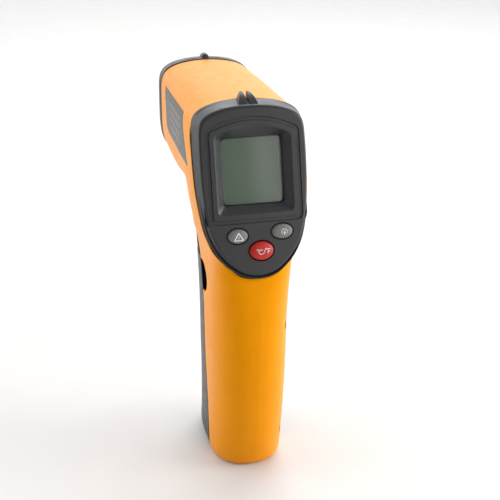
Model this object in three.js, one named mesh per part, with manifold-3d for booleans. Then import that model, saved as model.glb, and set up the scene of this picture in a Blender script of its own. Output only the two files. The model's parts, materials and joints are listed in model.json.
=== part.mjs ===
// Pistol-grip infrared thermometer: two handle shells, display bezel, nose bezel, trigger,
// battery door, three buttons and the parts inside. Millimetres, +Z up, nose towards +Y.
import * as THREE from "three";
import { mergeVertices } from "three/addons/utils/BufferGeometryUtils.js";
import Module from "manifold-3d";

const wasm = await Module();
wasm.setup();

// ---- Driving dimensions ---------------------------------------------------------------------

const GAP = 0.3; // clearance between pieces that touch
const WALL = 2.0; // moulded wall

// The body is one swept skin: straight along the barrel, turning about PIVOT, then down the grip.
const PIVOT = { y: 48, z: 90 };
const NOSE_Y = 73.3; // where the shells end and the nose bezel begins
const NOSE_FRONT = 82.1;
const BARREL_MID = 131; // height of the widest line of the barrel
const BARREL_TOP = 150.1; // at the nose, falling slightly towards the display
const BARREL_SLOPE = 0.0123;
const NOSE_TOP = 150.45; // the nose bezel stands a little proud

// Display plane: centre, lean of its top towards the nose, and the bezel's outline on it.
const FACE = { y: -7, z: 126.04, lean: 16.76 };
// Seam plane between the shells and the display bezel: a point on it and its lean.
const SEAM = { y: 8.36, z: 149.2, lean: 21.3 };

const WINDOW = { halfWidth: 11.7, halfHeight: 12.4, depth: 3.1 };
const FUNNEL = { halfWidth: 14.6, top: 17.0, corner: 13.2, bottom: -15.8 };
const BUTTONS = {
  laser: { u: -7.8, v: -23.5, a: 3.75, b: 2.65 },
  backlight: { u: 9.2, v: -22.9, a: 4.0, b: 2.75 },
  units: { u: 0.9, v: -29.5, a: 4.55, b: 3.5 },
};
const BUTTON_PROUD = 1.4;
const BUTTON_FLANGE = 0.8;

const TRIGGER = { halfWidth: 12.6, top: 101.4, bottom: 84.4 };
const TRIGGER_PIN = { y: 38.4, z: 105.1 };
const DOOR = { top: 83.4, hingeY: 24.4, hingeZ: 4.7 };
const NOTCH = { y: 10.5, z: 77.6, depth: 7.4, halfHeight: 6.4 };
const PIN_RADIUS = 1.0;
const APERTURE = { z: 122, radius: 8.6 }; // infrared funnel, along the barrel
const LASER = { z: 141, radius: 2.2 };

const CELL = { radius: 5.2, length: 43.5, x: 5.6, y: 5.5, z: 15.5 };
const LABEL = {
  low: 124.3, high: 142.1, // z
  rearLow: 7.6, rearHigh: 19.8, frontLow: 58.2, frontHigh: 62, // y at its four corners
  corner: { along: 4.7, up: 1.9 }, // cut off the lower front corner
  thickness: 0.24,
};

const COLOURS = {
  yellow: [0xf0a01c, 0.38, 0],
  charcoal: [0x3b3d40, 0.6, 0],
  black: [0x16171a, 0.5, 0],
  greyButton: [0x7b807b, 0.7, 0],
  redButton: [0xbf211b, 0.45, 0],
  lcd: [0x6d7d6c, 0.3, 0],
  clear: [0xb8c4b8, 0.1, 0],
  diffuser: [0xe9ecef, 0.6, 0],
  board: [0x1f6b3a, 0.55, 0],
  steel: [0xb9bcc0, 0.3, 1],
  brass: [0xc9a24a, 0.3, 1],
  cell: [0x394a5c, 0.35, 0.2],
  rubber: [0x2a2a2c, 0.8, 0],
  lens: [0x5a4a30, 0.2, 0],
  leadRed: [0xb5241c, 0.5, 0],
  leadBlack: [0x17181a, 0.5, 0],
};

// ---- Helpers --------------------------------------------------------------------------------

function solid(geometry) {
  const bare = new THREE.BufferGeometry();
  bare.setAttribute("position", geometry.getAttribute("position").clone());
  if (geometry.index) bare.setIndex(geometry.index.clone());
  const merged = mergeVertices(bare, 1e-4);
  const vertProperties = new Float32Array(merged.getAttribute("position").array);
  const triVerts = new Uint32Array(merged.index.array);
  return new wasm.Manifold(new wasm.Mesh({ numProp: 3, vertProperties, triVerts }));
}

function geometryOf(manifold) {
  const mesh = manifold.getMesh();
  const geometry = new THREE.BufferGeometry();
  geometry.setAttribute("position", new THREE.BufferAttribute(new Float32Array(mesh.vertProperties), 3));
  geometry.setIndex(new THREE.BufferAttribute(new Uint32Array(mesh.triVerts), 1));
  geometry.computeVertexNormals();
  return geometry;
}

const join = (...geometries) => geometryOf(geometries.map(solid).reduce((a, b) => a.add(b)));
const cut = (base, ...tools) => geometryOf(tools.map(solid).reduce((a, b) => a.subtract(b), solid(base)));
const meet = (a, b) => geometryOf(solid(a).intersect(solid(b)));

function box(x0, x1, y0, y1, z0, z1) {
  const geometry = new THREE.BoxGeometry(x1 - x0, y1 - y0, z1 - z0);
  return geometry.translate((x0 + x1) / 2, (y0 + y1) / 2, (z0 + z1) / 2);
}

// Cylinder between two points on one axis ("x", "y" or "z").
function rod(axis, radius, from, to, at = [0, 0, 0], sides = 20, endRadius = radius) {
  const geometry = new THREE.CylinderGeometry(endRadius, radius, to - from, sides);
  geometry.translate(0, (from + to) / 2, 0);
  if (axis === "x") geometry.rotateZ(-Math.PI / 2);
  if (axis === "z") geometry.rotateX(Math.PI / 2);
  return geometry.translate(...at);
}

// Closed skin through rings of points, with a fan over each end.
function skin(rings) {
  const count = rings[0].length;
  const points = rings.flat();
  const index = [];
  for (let r = 0; r + 1 < rings.length; r++) {
    for (let i = 0; i < count; i++) {
      const j = (i + 1) % count;
      const [a, b, c, d] = [r * count + i, r * count + j, (r + 1) * count + i, (r + 1) * count + j];
      index.push(a, b, c, b, d, c);
    }
  }
  const last = (rings.length - 1) * count;
  const middle = (ring) => ring.reduce((s, p) => s.add(p), new THREE.Vector3()).divideScalar(count);
  points.push(middle(rings[0]), middle(rings[rings.length - 1]));
  for (let i = 0; i < count; i++) {
    const j = (i + 1) % count;
    index.push(points.length - 2, j, i, points.length - 1, last + i, last + j);
  }
  const geometry = new THREE.BufferGeometry().setFromPoints(points);
  geometry.setIndex(index);
  return solid(geometry).volume() < 0 ? flipped(geometry) : geometry;
}

function flipped(source) {
  const geometry = source.index ? source : mergeVertices(source);
  const index = geometry.index.array;
  for (let i = 0; i < index.length; i += 3) {
    const first = index[i];
    index[i] = index[i + 1];
    index[i + 1] = first;
  }
  return geometry;
}

// Side outline (y, z) stretched across from x0 to x1.
function slab(shape, x0, x1, segments = 6) {
  const options = { depth: x1 - x0, bevelEnabled: false, curveSegments: segments };
  const geometry = new THREE.ExtrudeGeometry(shape, options);
  return geometry.applyMatrix4(
    new THREE.Matrix4().set(0, 0, 1, x0, 1, 0, 0, 0, 0, 1, 0, 0, 0, 0, 0, 1),
  );
}

const outline = (points) => new THREE.Shape(points.map(([a, b]) => new THREE.Vector2(a, b)));

function plate(shape, from, to, segments = 8) {
  const options = { depth: to - from, bevelEnabled: false, curveSegments: segments };
  return new THREE.ExtrudeGeometry(shape, options).translate(0, 0, from);
}

function ellipse(u, v, a, b) {
  const shape = new THREE.Shape();
  shape.absellipse(u, v, a, b, 0, 2 * Math.PI);
  return shape;
}

function roundedBox(halfWidth, bottom, top, radius) {
  const shape = new THREE.Shape();
  shape.moveTo(-halfWidth + radius, bottom);
  shape.lineTo(halfWidth - radius, bottom);
  shape.absarc(halfWidth - radius, bottom + radius, radius, -Math.PI / 2, 0);
  shape.lineTo(halfWidth, top - radius);
  shape.absarc(halfWidth - radius, top - radius, radius, 0, Math.PI / 2);
  shape.lineTo(-halfWidth + radius, top);
  shape.absarc(-halfWidth + radius, top - radius, radius, Math.PI / 2, Math.PI);
  shape.lineTo(-halfWidth, bottom + radius);
  shape.absarc(-halfWidth + radius, bottom + radius, radius, Math.PI, 1.5 * Math.PI);
  return shape;
}

// Smooth curve through rows [t, a, b, ...], read at any t.
function through(rows) {
  const slope = (i, k) => {
    const low = rows[Math.max(i - 1, 0)];
    const high = rows[Math.min(i + 1, rows.length - 1)];
    return (high[k] - low[k]) / (high[0] - low[0]);
  };
  return (t) => {
    let i = rows.findIndex((row) => row[0] >= t);
    i = Math.min(Math.max(i, 1), rows.length - 1);
    const [a, b] = [rows[i - 1], rows[i]];
    const h = b[0] - a[0];
    const s = (t - a[0]) / h;
    const [s2, s3] = [s * s, s * s * s];
    return a.map((_, k) =>
      a[k] * (2 * s3 - 3 * s2 + 1) + h * slope(i - 1, k) * (s3 - 2 * s2 + s)
      + b[k] * (3 * s2 - 2 * s3) + h * slope(i, k) * (s3 - s2));
  };
}

// ---- The body's swept skin ------------------------------------------------------------------

// Barrel, by y: half width, underside z, power of the lower corners.
const barrel = through([
  [48, 20.7, 104.2, 3.2],
  [60, 20.4, 105.3, 3.4],
  [NOSE_Y, 20.0, 107.0, 3.6],
  [NOSE_FRONT, 20.2, 107.2, 3.6],
]);

// Turn, by angle in degrees: half width, outer, middle and inner distance from PIVOT, powers of the
// outer and inner corners, crown of the outer side. Past the seam plane the outer side is cut away.
const turn = through([
  [0, 20.7, 59.79, 41, 14.2, 6.5, 3.2, 3.7],
  [5, 20.82, 59.95, 41.2, 14.05, 6.36, 3.05, 3.74],
  [10, 20.95, 60.58, 41.6, 13.9, 6.2, 2.9, 3.8],
  [15, 21.09, 61.69, 42.4, 13.74, 6.01, 2.75, 3.92],
  [20, 21.25, 63.34, 43.6, 13.6, 5.8, 2.6, 4.1],
  [27, 21.55, 66.68, 46.3, 13.48, 5.46, 2.41, 4.49],
  [33.7, 21.8, 71.28, 49.3, 13.4, 5.2, 2.25, 4.9],
  [40, 21.92, 77.25, 52.5, 13.36, 5.12, 2.15, 5.46],
  [46, 21.95, 84.99, 55, 13.3, 5.2, 2.1, 5.6],
  [60, 21.75, 84, 57, 12.9, 6, 2.1, 3],
  [70, 20.7, 78, 57, 12.5, 5, 2.2, 2],
  [76, 19.65, 76, 55, 12.2, 5, 2.4, 1],
  [81, 17.95, 73, 52, 12, 4.5, 2.7, 0.5],
  [84.5, 16.75, 67, 49, 11.8, 4, 3.2, 0],
  [87, 16.2, 64.4, 46, 11.7, 4, 3.7, 0],
  [90, 15.9, 63.5, 44.5, 11.7, 3.8, 4, 0],
]);

// Grip, by height: half width, y of the back, widest line and front, corner powers, back ridge.
const grip = through([
  [0, 13.3, -12.6, 4, 26.4, 2.6, 4, 0.6],
  [0.9, 14.3, -13.6, 4, 28.0, 2.6, 4, 0.6],
  [2.6, 14.85, -14.3, 4, 29.1, 2.6, 4, 0.6],
  [5, 15.0, -14.8, 4, 29.1, 2.6, 4, 0.6],
  [11, 15.1, -15.9, 4, 27.6, 2.6, 4, 0.6],
  [19, 15.25, -16.9, 4, 26.0, 2.6, 4, 0.6],
  [34, 15.45, -18.1, 4, 25.5, 2.6, 4, 0.6],
  [46, 15.6, -18.3, 4, 26.6, 2.6, 4, 0.6],
  [57, 15.6, -18.0, 4, 27.8, 2.6, 4, 0.6],
  [68, 15.6, -17.4, 4, 30.0, 2.7, 4, 0.6],
  [78, 15.65, -16.7, 3.8, 33.0, 3.0, 4, 0.4],
  [87.6, 15.8, -15.8, 3.5, 35.8, 3.6, 4, 0.1],
  [90, 15.9, -15.5, 3.5, 36.3, 3.8, 4, 0],
]);

// One cross-section: where its plane starts, which way it points outwards, and its shape.
function barrelSection(y) {
  const [, halfWidth, under, inPower] = barrel(y);
  const top = y > NOSE_Y ? NOSE_TOP : BARREL_TOP - (NOSE_Y - y) * BARREL_SLOPE;
  const shape = { halfWidth, outer: top - PIVOT.z, middle: BARREL_MID - PIVOT.z, inner: under - PIVOT.z };
  return { y, z: PIVOT.z, angle: 0, ...shape, outPower: 6.5, inPower, crown: 3.7, ridge: 0 };
}

function turnSection(angle) {
  const [, halfWidth, outer, middle, inner, outPower, inPower, crown] = turn(angle);
  return { ...PIVOT, angle, halfWidth, outer, middle, inner, outPower, inPower, crown, ridge: 0 };
}

function gripSection(z) {
  const [, halfWidth, back, middle, front, outPower, inPower, ridge] = grip(z);
  const shape = { halfWidth, outer: PIVOT.y - back, middle: PIVOT.y - middle, inner: PIVOT.y - front };
  return { y: PIVOT.y, z, angle: 90, ...shape, outPower, inPower, crown: 0, ridge };
}

function sectionRing(section, inset, count) {
  const { y, z, angle, halfWidth, outer, middle, inner, outPower, inPower, crown, ridge } = section;
  const turned = THREE.MathUtils.degToRad(angle);
  const ring = [];
  for (let i = 0; i < count; i++) {
    const a = (2 * Math.PI * i) / count;
    const isOuter = Math.sin(a) >= 0;
    const power = isOuter ? outPower : inPower;
    const across = Math.sign(Math.cos(a)) * Math.abs(Math.cos(a)) ** (2 / power);
    const along = Math.abs(Math.sin(a)) ** (2 / power);
    const depth = isOuter ? outer - inset - middle : middle - inner - inset;
    const drop = isOuter ? crown * across * across - ridge * (1 - Math.abs(across)) : 0;
    const r = middle + (isOuter ? (depth - drop) * along : -depth * along);
    ring.push(new THREE.Vector3(
      (halfWidth - inset) * across,
      y - r * Math.sin(turned),
      z + r * Math.cos(turned),
    ));
  }
  return ring;
}

// The whole outer form, before it is split into shells, door and trigger.
function bodyForm(inset, count, barrelStops, turnStops, gripStops) {
  const sections = [
    ...barrelStops.map(barrelSection),
    ...turnStops.map(turnSection),
    ...gripStops.map(gripSection),
  ];
  return skin(sections.map((section) => sectionRing(section, inset, count)));
}

const outerForm = bodyForm(
  0, 40,
  [NOSE_Y, 61],
  [0, 12, 24, 34, 42, 50, 58, 65, 71, 76, 81, 85, 88],
  [90, 84, 76, 67, 56, 44, 31, 19, 11, 5, 2.6, 0.9, 0],
);
const innerForm = bodyForm(
  WALL, 28,
  [NOSE_Y, 61],
  [0, 14, 28, 42, 55, 66, 75, 82, 87],
  [90, 80, 67, 50, 31, 14, WALL + 0.3],
);

// ---- Assembly and materials -----------------------------------------------------------------

const thermometer = new THREE.Group();

// Frame of the display: x across, y up the face, z out of it towards the user.
const display = new THREE.Group();
display.position.set(0, FACE.y, FACE.z);
display.rotation.x = THREE.MathUtils.degToRad(90 - FACE.lean);
thermometer.add(display);

function add(group, name, colour, geometry) {
  const [color, roughness, metalness] = COLOURS[colour];
  const mesh = new THREE.Mesh(geometry, new THREE.MeshStandardMaterial({ color, roughness, metalness }));
  mesh.name = name;
  group.add(mesh);
  return mesh;
}

// ---- Shells ---------------------------------------------------------------------------------

// Everything on the user's side of the seam plane, as a big tilted block.
function behindSeam(offset) {
  const lean = THREE.MathUtils.degToRad(SEAM.lean);
  const block = box(-60, 60, -80, -offset, -120, 120);
  return block.rotateX(-lean).translate(0, SEAM.y, SEAM.z);
}

// Front edge of the shells' side walls, from the foot up to the underside of the barrel.
const EDGE = [[1.5, -1], [1.7, 5], [2.7, 23], [6.5, 45], [9.2, 67], [14.2, 84.1]];
const TRIGGER_EDGE = [[17.2, 88], [20.5, 91.4], [25.4, 94.2], [31, 97.6], [37, 100.4], [47.5, 101.8]];

function forwardOfEdge(gap) {
  const points = [...EDGE, ...TRIGGER_EDGE].map(([y, z]) => [y - gap, z]);
  return slab(outline([...points, [70, 101.8], [70, -1]]), -30, 30);
}

// D-shaped finger notch, open towards the door.
function notchShape() {
  const shape = new THREE.Shape();
  shape.absellipse(NOTCH.y, NOTCH.z, NOTCH.depth, NOTCH.halfHeight, 0, 2 * Math.PI);
  return shape;
}

// (y, z) on the right side; the last one lies under the label.
const SCREWS = [[-8.8, 13.5], [-9.6, 63], [25.5, 112.6], [31, 139]];
const BOSS_RADIUS = 2.9;
const SCREW_HEAD = { radius: 2.4, from: 10.2, to: 11.9 };
const SCREW_SHANK = 1.0;
const PIN_BOSS = { radius: 2.3, from: 10.6, to: 12.2 }; // each end of the trigger's pin
const PIN_HALF = 11.5;

function shells() {
  const opticsRoom = rod("y", 9.9, 40, 78, [0, 0, APERTURE.z], 28);
  const hollow = cut(
    innerForm,
    ...SCREWS.map(([y, z]) => rod("x", BOSS_RADIUS, -20, 20, [0, y, z], 14)),
    footBlock(),
  );
  const ears = [-1, 1].map((side) => hingeEar(side));
  const { y: pinY, z: pinZ } = TRIGGER_PIN;
  const whole = join(
    cut(
      outerForm,
      hollow,
      behindSeam(0),
      forwardOfEdge(0),
      slab(notchShape(), -30, 30, 10),
      opticsRoom,
      box(-PIN_BOSS.from + 0.2, PIN_BOSS.from - 0.2, 32, 47, 99, 114.5), // room for the lugs
    ),
    footPlate(),
    ...ears,
    switchShelf(),
    rod("x", PIN_BOSS.radius, -PIN_BOSS.to, -PIN_BOSS.from, [0, pinY, pinZ], 16),
    rod("x", PIN_BOSS.radius, PIN_BOSS.from, PIN_BOSS.to, [0, pinY, pinZ], 16),
  );
  const drilled = cut(
    whole,
    rod("x", PIN_RADIUS + 0.05, -PIN_HALF - 0.2, PIN_HALF + 0.2, [0, pinY, pinZ], 24),
    ...SCREWS.map(([y, z]) => rod("x", SCREW_SHANK + 0.25, -9, 13, [0, y, z], 12)),
  );
  const left = meet(drilled, box(-40, -GAP / 2, -60, 120, -5, 200));
  const { radius: headRadius, from: headFrom } = SCREW_HEAD;
  const sunk = SCREWS.map(([y, z]) => rod("x", headRadius + GAP, headFrom - GAP, 30, [0, y, z], 16));
  const right = cut(meet(drilled, box(GAP / 2, 40, -60, 120, -5, 200)), ...sunk);
  add(thermometer, "left_shell", "yellow", left);
  add(thermometer, "right_shell", "yellow", right);
}

const FOOT = { top: 2.4, front: 19.2, halfWidth: 12.6 };

// The solid foot inside the base, which the shells keep when they are hollowed.
function footBlock() {
  return box(-20, 20, -20, EDGE[0][0], -1, FOOT.top);
}

// The foot runs on under the door, so the base stays wide enough to stand on.
function footPlate() {
  return box(-FOOT.halfWidth, FOOT.halfWidth, -2, FOOT.front, 0, FOOT.top);
}

const KNUCKLE = 2.2; // radius round the door's hinge pin
const EAR_ROOM = 4.1; // radius the door keeps free for each ear as it turns
const EAR = { inner: 8.5, thickness: 1.8 };

// Arm from the foot plate over to the door's hinge pin.
function hingeEar(side) {
  const { hingeY: y, hingeZ: z } = DOOR;
  const arm = outline([
    [13, 2], [18.9, 2], [18.9, z + 1.2], [y, z - 1.2], [y, z + KNUCKLE], [17, z + KNUCKLE], [13, 5],
  ]);
  const from = side < 0 ? -EAR.inner - EAR.thickness : EAR.inner;
  const to = from + EAR.thickness;
  const ear = join(slab(arm, from, to), rod("x", KNUCKLE, from, to, [0, y, z], 20));
  return cut(ear, rod("x", PIN_RADIUS + 0.05, -14, 14, [0, y, z], 24));
}

// Shelf across both shells that carries the trigger's switch.
function switchShelf() {
  return join(box(-9.4, 9.4, 9.5, 16.6, 86.4, 88.2), box(-14.3, 14.3, 9.5, 11.3, 86.4, 97));
}

// ---- Battery door ---------------------------------------------------------------------------

function batteryDoor() {
  const { hingeY, hingeZ, top } = DOOR;
  const edge = EDGE.map(([y, z]) => [y + GAP, z]);
  edge[0] = [edge[0][0] + 0.5, 0.9];
  edge[1] = [edge[1][0] + 0.35, 5];
  edge[edge.length - 1] = [14.2 + GAP, top];
  const side = slab(outline([...edge, [60, top], [60, -1], [19, -1], [6, 0.9]]), -30, 30);
  const shell = cut(meet(outerForm, side), innerForm, footClearance());
  const lid = meet(innerFit(), box(-13.4, 13.4, 18.5, 45, top - 1.8, top));
  const wings = [-1, 1].map((s) => catchWing(s));
  const knuckle = join(
    rod("x", KNUCKLE, -EAR.inner + GAP, EAR.inner - GAP, [0, hingeY, hingeZ], 20),
    box(-EAR.inner + GAP, EAR.inner - GAP, hingeY + 0.8, hingeY + 3.4, hingeZ - 0.9, hingeZ + 1.2),
  );
  const door = join(shell, lid, ...wings, knuckle);
  const pinAt = [0, hingeY, hingeZ];
  add(thermometer, "battery_door", "charcoal", cut(door, rod("x", PIN_RADIUS + 0.1, -14, 14, pinAt, 24)));
  add(thermometer, "door_hinge_pin", "steel", rod("x", PIN_RADIUS - 0.02, -10.3, 10.3, pinAt, 20));
}

// Space the foot and hinge ears need inside the door.
function footClearance() {
  const { hingeY, hingeZ } = DOOR;
  return join(
    box(-FOOT.halfWidth - GAP, FOOT.halfWidth + GAP, -2, hingeY - 1.9, -1, FOOT.top + 0.8),
    rod("x", EAR_ROOM, -10.6, -8.3, [0, hingeY, hingeZ], 20),
    rod("x", EAR_ROOM, 8.3, 10.6, [0, hingeY, hingeZ], 20),
  );
}

const innerFit = () => bodyForm(
  WALL - 0.05, 28,
  [NOSE_Y, 61],
  [0, 30, 60, 87],
  [90, 80, 67, 50, 31, 14, WALL],
);

const CATCH = { inner: 9.9, thickness: 1.2, rootThickness: 4.3 };

// Springy catch behind each finger notch, reaching back from the door's side wall.
function catchWing(side) {
  const wing = outline([[2.4, 70.6], [19.3, 70.2], [20.5, 82.6], [5.2, 82], [2.4, 81]]);
  const { inner, thickness, rootThickness } = CATCH;
  const from = side < 0 ? -inner - thickness : inner;
  const rootFrom = side < 0 ? -inner - rootThickness : inner;
  const root = box(rootFrom, rootFrom + rootThickness, 17.4, 19.2, 72.8, 82.4);
  return join(slab(wing, from, from + thickness), root);
}

// ---- Trigger --------------------------------------------------------------------------------

function trigger() {
  const { halfWidth, top, bottom } = TRIGGER;
  const { y: pinY, z: pinZ } = TRIGGER_PIN;
  // The part beside the shells' edge is as wide as the grip and stands off by the trigger's travel.
  const cheeks = outline([
    [18.4, bottom], [20.9, 88], [24.3, 91], [28.9, 93.6], [34, 96.6], [39.4, 99.3], [44.2, top],
    [50, 98], [50, bottom],
  ]);
  const skinned = bodyForm(0.25, 36, [61], [0, 30, 55, 70, 80, 87], [90, 84, 78]);
  const wide = meet(skinned, slab(cheeks, -20, 20));
  // The part behind it is narrower and slides in between the shells' walls.
  const rear = outline([
    [15.3, bottom], [17.9, 88.2], [21.6, 90.2], [24.3, 91], [28.9, 93.6], [34, 96.6], [36, 96],
    [24, bottom],
  ]);
  const face = new THREE.Shape();
  face.moveTo(36.6, bottom);
  face.quadraticCurveTo(37.6, 91.8, 45.6, top - 1.8);
  face.lineTo(44.2, top - 0.4);
  face.lineTo(30, 94);
  face.lineTo(28, bottom);
  const solidTrigger = join(wide, slab(rear, -halfWidth, halfWidth), slab(face, -9.6, 9.6, 6));
  const pocketShape = outline([[10, bottom + 1.6], [33, bottom + 1.6], [35.4, 95.6], [10, 95.6]]);
  const pockets = [[-10.6, -1.4], [1.4, 10.6]].map(([from, to]) => slab(pocketShape, from, to));
  const switchRoom = slab(outline([[10, 80], [23.4, 80], [23.4, 99], [10, 99]]), -10.6, 10.6);
  const lugShape = outline([[34, 96], [36.4, pinZ], [41.2, pinZ], [43.2, 98.4], [40, 94]]);
  const lugs = [[-8.9, -4.6], [4.6, 8.9]].map(([from, to]) => join(
    slab(lugShape, from, to),
    rod("x", 2.9, from, to, [0, pinY, pinZ], 16),
  ));
  const body = join(cut(solidTrigger, ...pockets, switchRoom), ...lugs);
  const bore = rod("x", PIN_RADIUS + 0.1, -20, 20, [0, pinY, pinZ], 20);
  add(thermometer, "trigger", "charcoal", cut(body, bore));
}

function triggerPin() {
  const { y, z } = TRIGGER_PIN;
  add(thermometer, "trigger_pin", "steel", rod("x", PIN_RADIUS - 0.02, -PIN_HALF, PIN_HALF, [0, y, z], 20));
}

// ---- Display bezel --------------------------------------------------------------------------

// Right half of the bezel's outline where it meets the shells: [across, up the face].
const BEZEL_EDGE = [
  [0, 26.7], [7.2, 26.4], [12.8, 25.4], [17.3, 23.7], [20.0, 21.5], [21.2, 18.6], [21.6, 13], [21.7, 5],
  [21.55, -4], [20.9, -12.5], [19.7, -20], [17.9, -26], [15.2, -31], [11.6, -35.2], [6.4, -38.9], [0, -40.2],
];
const BEZEL_SIZE = { halfWidth: 21.7, centre: -6.7, halfHeight: 33.5 };

// Height of the seam plane above the face, at a place up the face.
function seamHeight(v) {
  const lean = THREE.MathUtils.degToRad(SEAM.lean - FACE.lean);
  const faceLean = THREE.MathUtils.degToRad(FACE.lean);
  const [dy, dz] = [SEAM.y - FACE.y, SEAM.z - FACE.z];
  const seamV = dy * Math.sin(faceLean) + dz * Math.cos(faceLean);
  const seamN = dz * Math.sin(faceLean) - dy * Math.cos(faceLean);
  return seamN + (seamV - v) * Math.tan(lean);
}

// Bezel outline drawn in by inset all round, and by extra at the top.
function bezelRing(inset, extraTop, height, count) {
  const mirrored = BEZEL_EDGE.slice(1, -1).reverse().map(([u, v]) => [-u, v]);
  const points = [...BEZEL_EDGE, ...mirrored].map(([u, v]) => new THREE.Vector3(u, v, 0));
  const curve = new THREE.CatmullRomCurve3(points, true, "centripetal");
  return curve.getSpacedPoints(count).slice(0, count).map((p) => {
    const u = p.x * (1 - inset / BEZEL_SIZE.halfWidth);
    const fromCentre = (p.y - BEZEL_SIZE.centre) * (1 - inset / BEZEL_SIZE.halfHeight);
    const topShare = THREE.MathUtils.smoothstep(fromCentre, 0, BEZEL_SIZE.halfHeight);
    const v = BEZEL_SIZE.centre + fromCentre - extraTop * topShare;
    return new THREE.Vector3(u, v, height === "seam" ? seamHeight(v) + GAP : height);
  });
}

function bezelForm() {
  const count = 56;
  return skin([
    bezelRing(0.15, 0, "seam", count),
    bezelRing(1.35, 0.6, -1.2, count),
    bezelRing(1.7, 0.9, -0.4, count),
    bezelRing(2.25, 1.5, 0, count),
  ]);
}

function funnelShape(grow) {
  const { halfWidth, top, corner, bottom } = FUNNEL;
  const shape = new THREE.Shape();
  const [w, low, high] = [halfWidth + grow, bottom - grow, corner + grow];
  shape.moveTo(-w + 2, low);
  shape.lineTo(w - 2, low);
  shape.quadraticCurveTo(w, low, w, low + 2);
  shape.lineTo(w, high - 1.5);
  shape.quadraticCurveTo(w, high, w - 2, high + 0.7);
  shape.quadraticCurveTo(0, 2 * (top + grow) - high - 0.7, -w + 2, high + 0.7);
  shape.quadraticCurveTo(-w, high, -w, high - 1.5);
  shape.lineTo(-w, low + 2);
  shape.quadraticCurveTo(-w, low, -w + 2, low);
  return shape;
}

// Sloping walls from the funnel's rim down to the window.
function funnelForm() {
  const rim = funnelShape(0).getPoints(4).slice(0, -1);
  const { halfWidth, halfHeight, depth } = WINDOW;
  const { clamp } = THREE.MathUtils;
  const foot = rim.map((p) => {
    const v = p.y > 0 ? Math.min(p.y * 1.2, halfHeight) : Math.max(p.y, -halfHeight);
    return new THREE.Vector3(clamp(p.x * 1.2, -halfWidth, halfWidth), v, -depth);
  });
  const lift = (z) => rim.map((p) => new THREE.Vector3(p.x, p.y, z));
  return skin([foot, lift(-0.2), lift(1)]);
}

// Side outline given as (height, up the face), stretched across the display from x0 to x1.
function sideSlab(shape, x0, x1) {
  const geometry = new THREE.ExtrudeGeometry(shape, { depth: x1 - x0, bevelEnabled: false });
  return flipped(geometry.applyMatrix4(
    new THREE.Matrix4().set(0, 0, 1, x0, 0, 1, 0, 0, 1, 0, 0, 0, 0, 0, 0, 1),
  ));
}

// Rear sight: two round-topped fins with a V between them, highest at the back.
const SIGHT_ACROSS = -0.5;

function sightFin(side) {
  const at = (across) => SIGHT_ACROSS + side * across;
  const front = new THREE.Shape();
  front.moveTo(at(0.25), 22.6);
  front.quadraticCurveTo(at(0.4), 27.6, at(1.15), 29.3);
  front.quadraticCurveTo(at(3.1), 28.6, at(4.1), 22.6);
  front.closePath();
  const ridge = outline([[-1.3, 22.6], [-1.3, 24], [-3.4, 27.2], [-6, 29.1], [-7.7, 29.4], [-7.7, 22.6]]);
  return meet(plate(front, -9, 0, 4), sideSlab(ridge, -5, 5));
}

function rearBezel() {
  const count = 56;
  const inside = skin([
    bezelRing(WALL + 0.3, 0, -14, count),
    bezelRing(WALL + 0.6, 0.6, -1.9 - WALL, count),
    bezelRing(WALL + 2, 1.2, -WALL - 0.3, count),
  ]);
  const { halfWidth, halfHeight } = WINDOW;
  const hole = ({ u, v, a, b }) => plate(ellipse(u, v, a + GAP, b + GAP), -10, 5, 6);
  const holes = Object.values(BUTTONS).map(hole);
  const border = cut(plate(funnelShape(3.1), -0.5, 5, 4), plate(funnelShape(1.8), -5, 9, 4));
  const seat = plate(funnelShape(-1.2), -WINDOW.depth - 1.2, -WALL, 3);
  const shell = join(cut(bezelForm(), inside), seat, sightFin(-1), sightFin(1));
  const window = plate(roundedBox(halfWidth, -halfHeight, halfHeight, 0.8), -10, -1, 3);
  add(display, "rear_bezel", "charcoal", cut(shell, funnelForm(), window, border, ...holes));
}

// ---- Display, buttons and board -------------------------------------------------------------

const BOARD = -10.6; // back of the main board, below the face
const BOARD_SCREW = { across: 14.2, up: -15.6 };

function displayStack() {
  const { halfWidth: w, halfHeight: h } = WINDOW;
  const pane = plate(roundedBox(w - GAP, -h + GAP, h - GAP, 0.6), -WINDOW.depth - 1.15, -WINDOW.depth, 3);
  add(display, "display_window", "clear", pane);
  add(display, "lcd_panel", "lcd", box(-w - 1.6, w + 1.6, -h - 1.5, h + 1.5, -6.9, -4.6));
  add(display, "backlight_panel", "diffuser", box(-w - 0.6, w + 0.6, -h - 0.5, h + 0.5, -8.4, -7.2));
  add(display, "lcd_contact_strip", "rubber", box(-w, w, -h - 3.6, -h - 1.9, -9.2, -5.0));
  const frame = cut(
    box(-w - 3.2, w + 3.2, -h - 1.55, h + 3, -9.2, -4.6),
    box(-w - 1.9, w + 1.9, -h - 4, h + 1.8, -20, 0),
  );
  add(display, "lcd_frame", "diffuser", frame);
}

function circuitBoard() {
  const ring = bezelRing(4.6, 1.5, 0, 28).map((p) => new THREE.Vector2(p.x, p.y));
  const { across, up } = BOARD_SCREW;
  const holes = [-across, across].map((u) => rod("z", 1.0, -14, -6, [u, up, 0], 12));
  const board = cut(plate(new THREE.Shape(ring), BOARD, BOARD + 1.2), ...holes);
  add(display, "main_board", "board", board);
  const switchBody = (b) => join(
    box(b.u - 2.4, b.u + 2.4, b.v - 2.4, b.v + 2.4, BOARD + 1.5, BOARD + 4),
    rod("z", 1.3, BOARD + 3.5, BOARD + 4.9, [b.u, b.v, 0], 12),
  );
  for (const [name, b] of Object.entries(BUTTONS)) {
    add(display, `${name}_switch`, "black", switchBody(b));
  }
}

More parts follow.
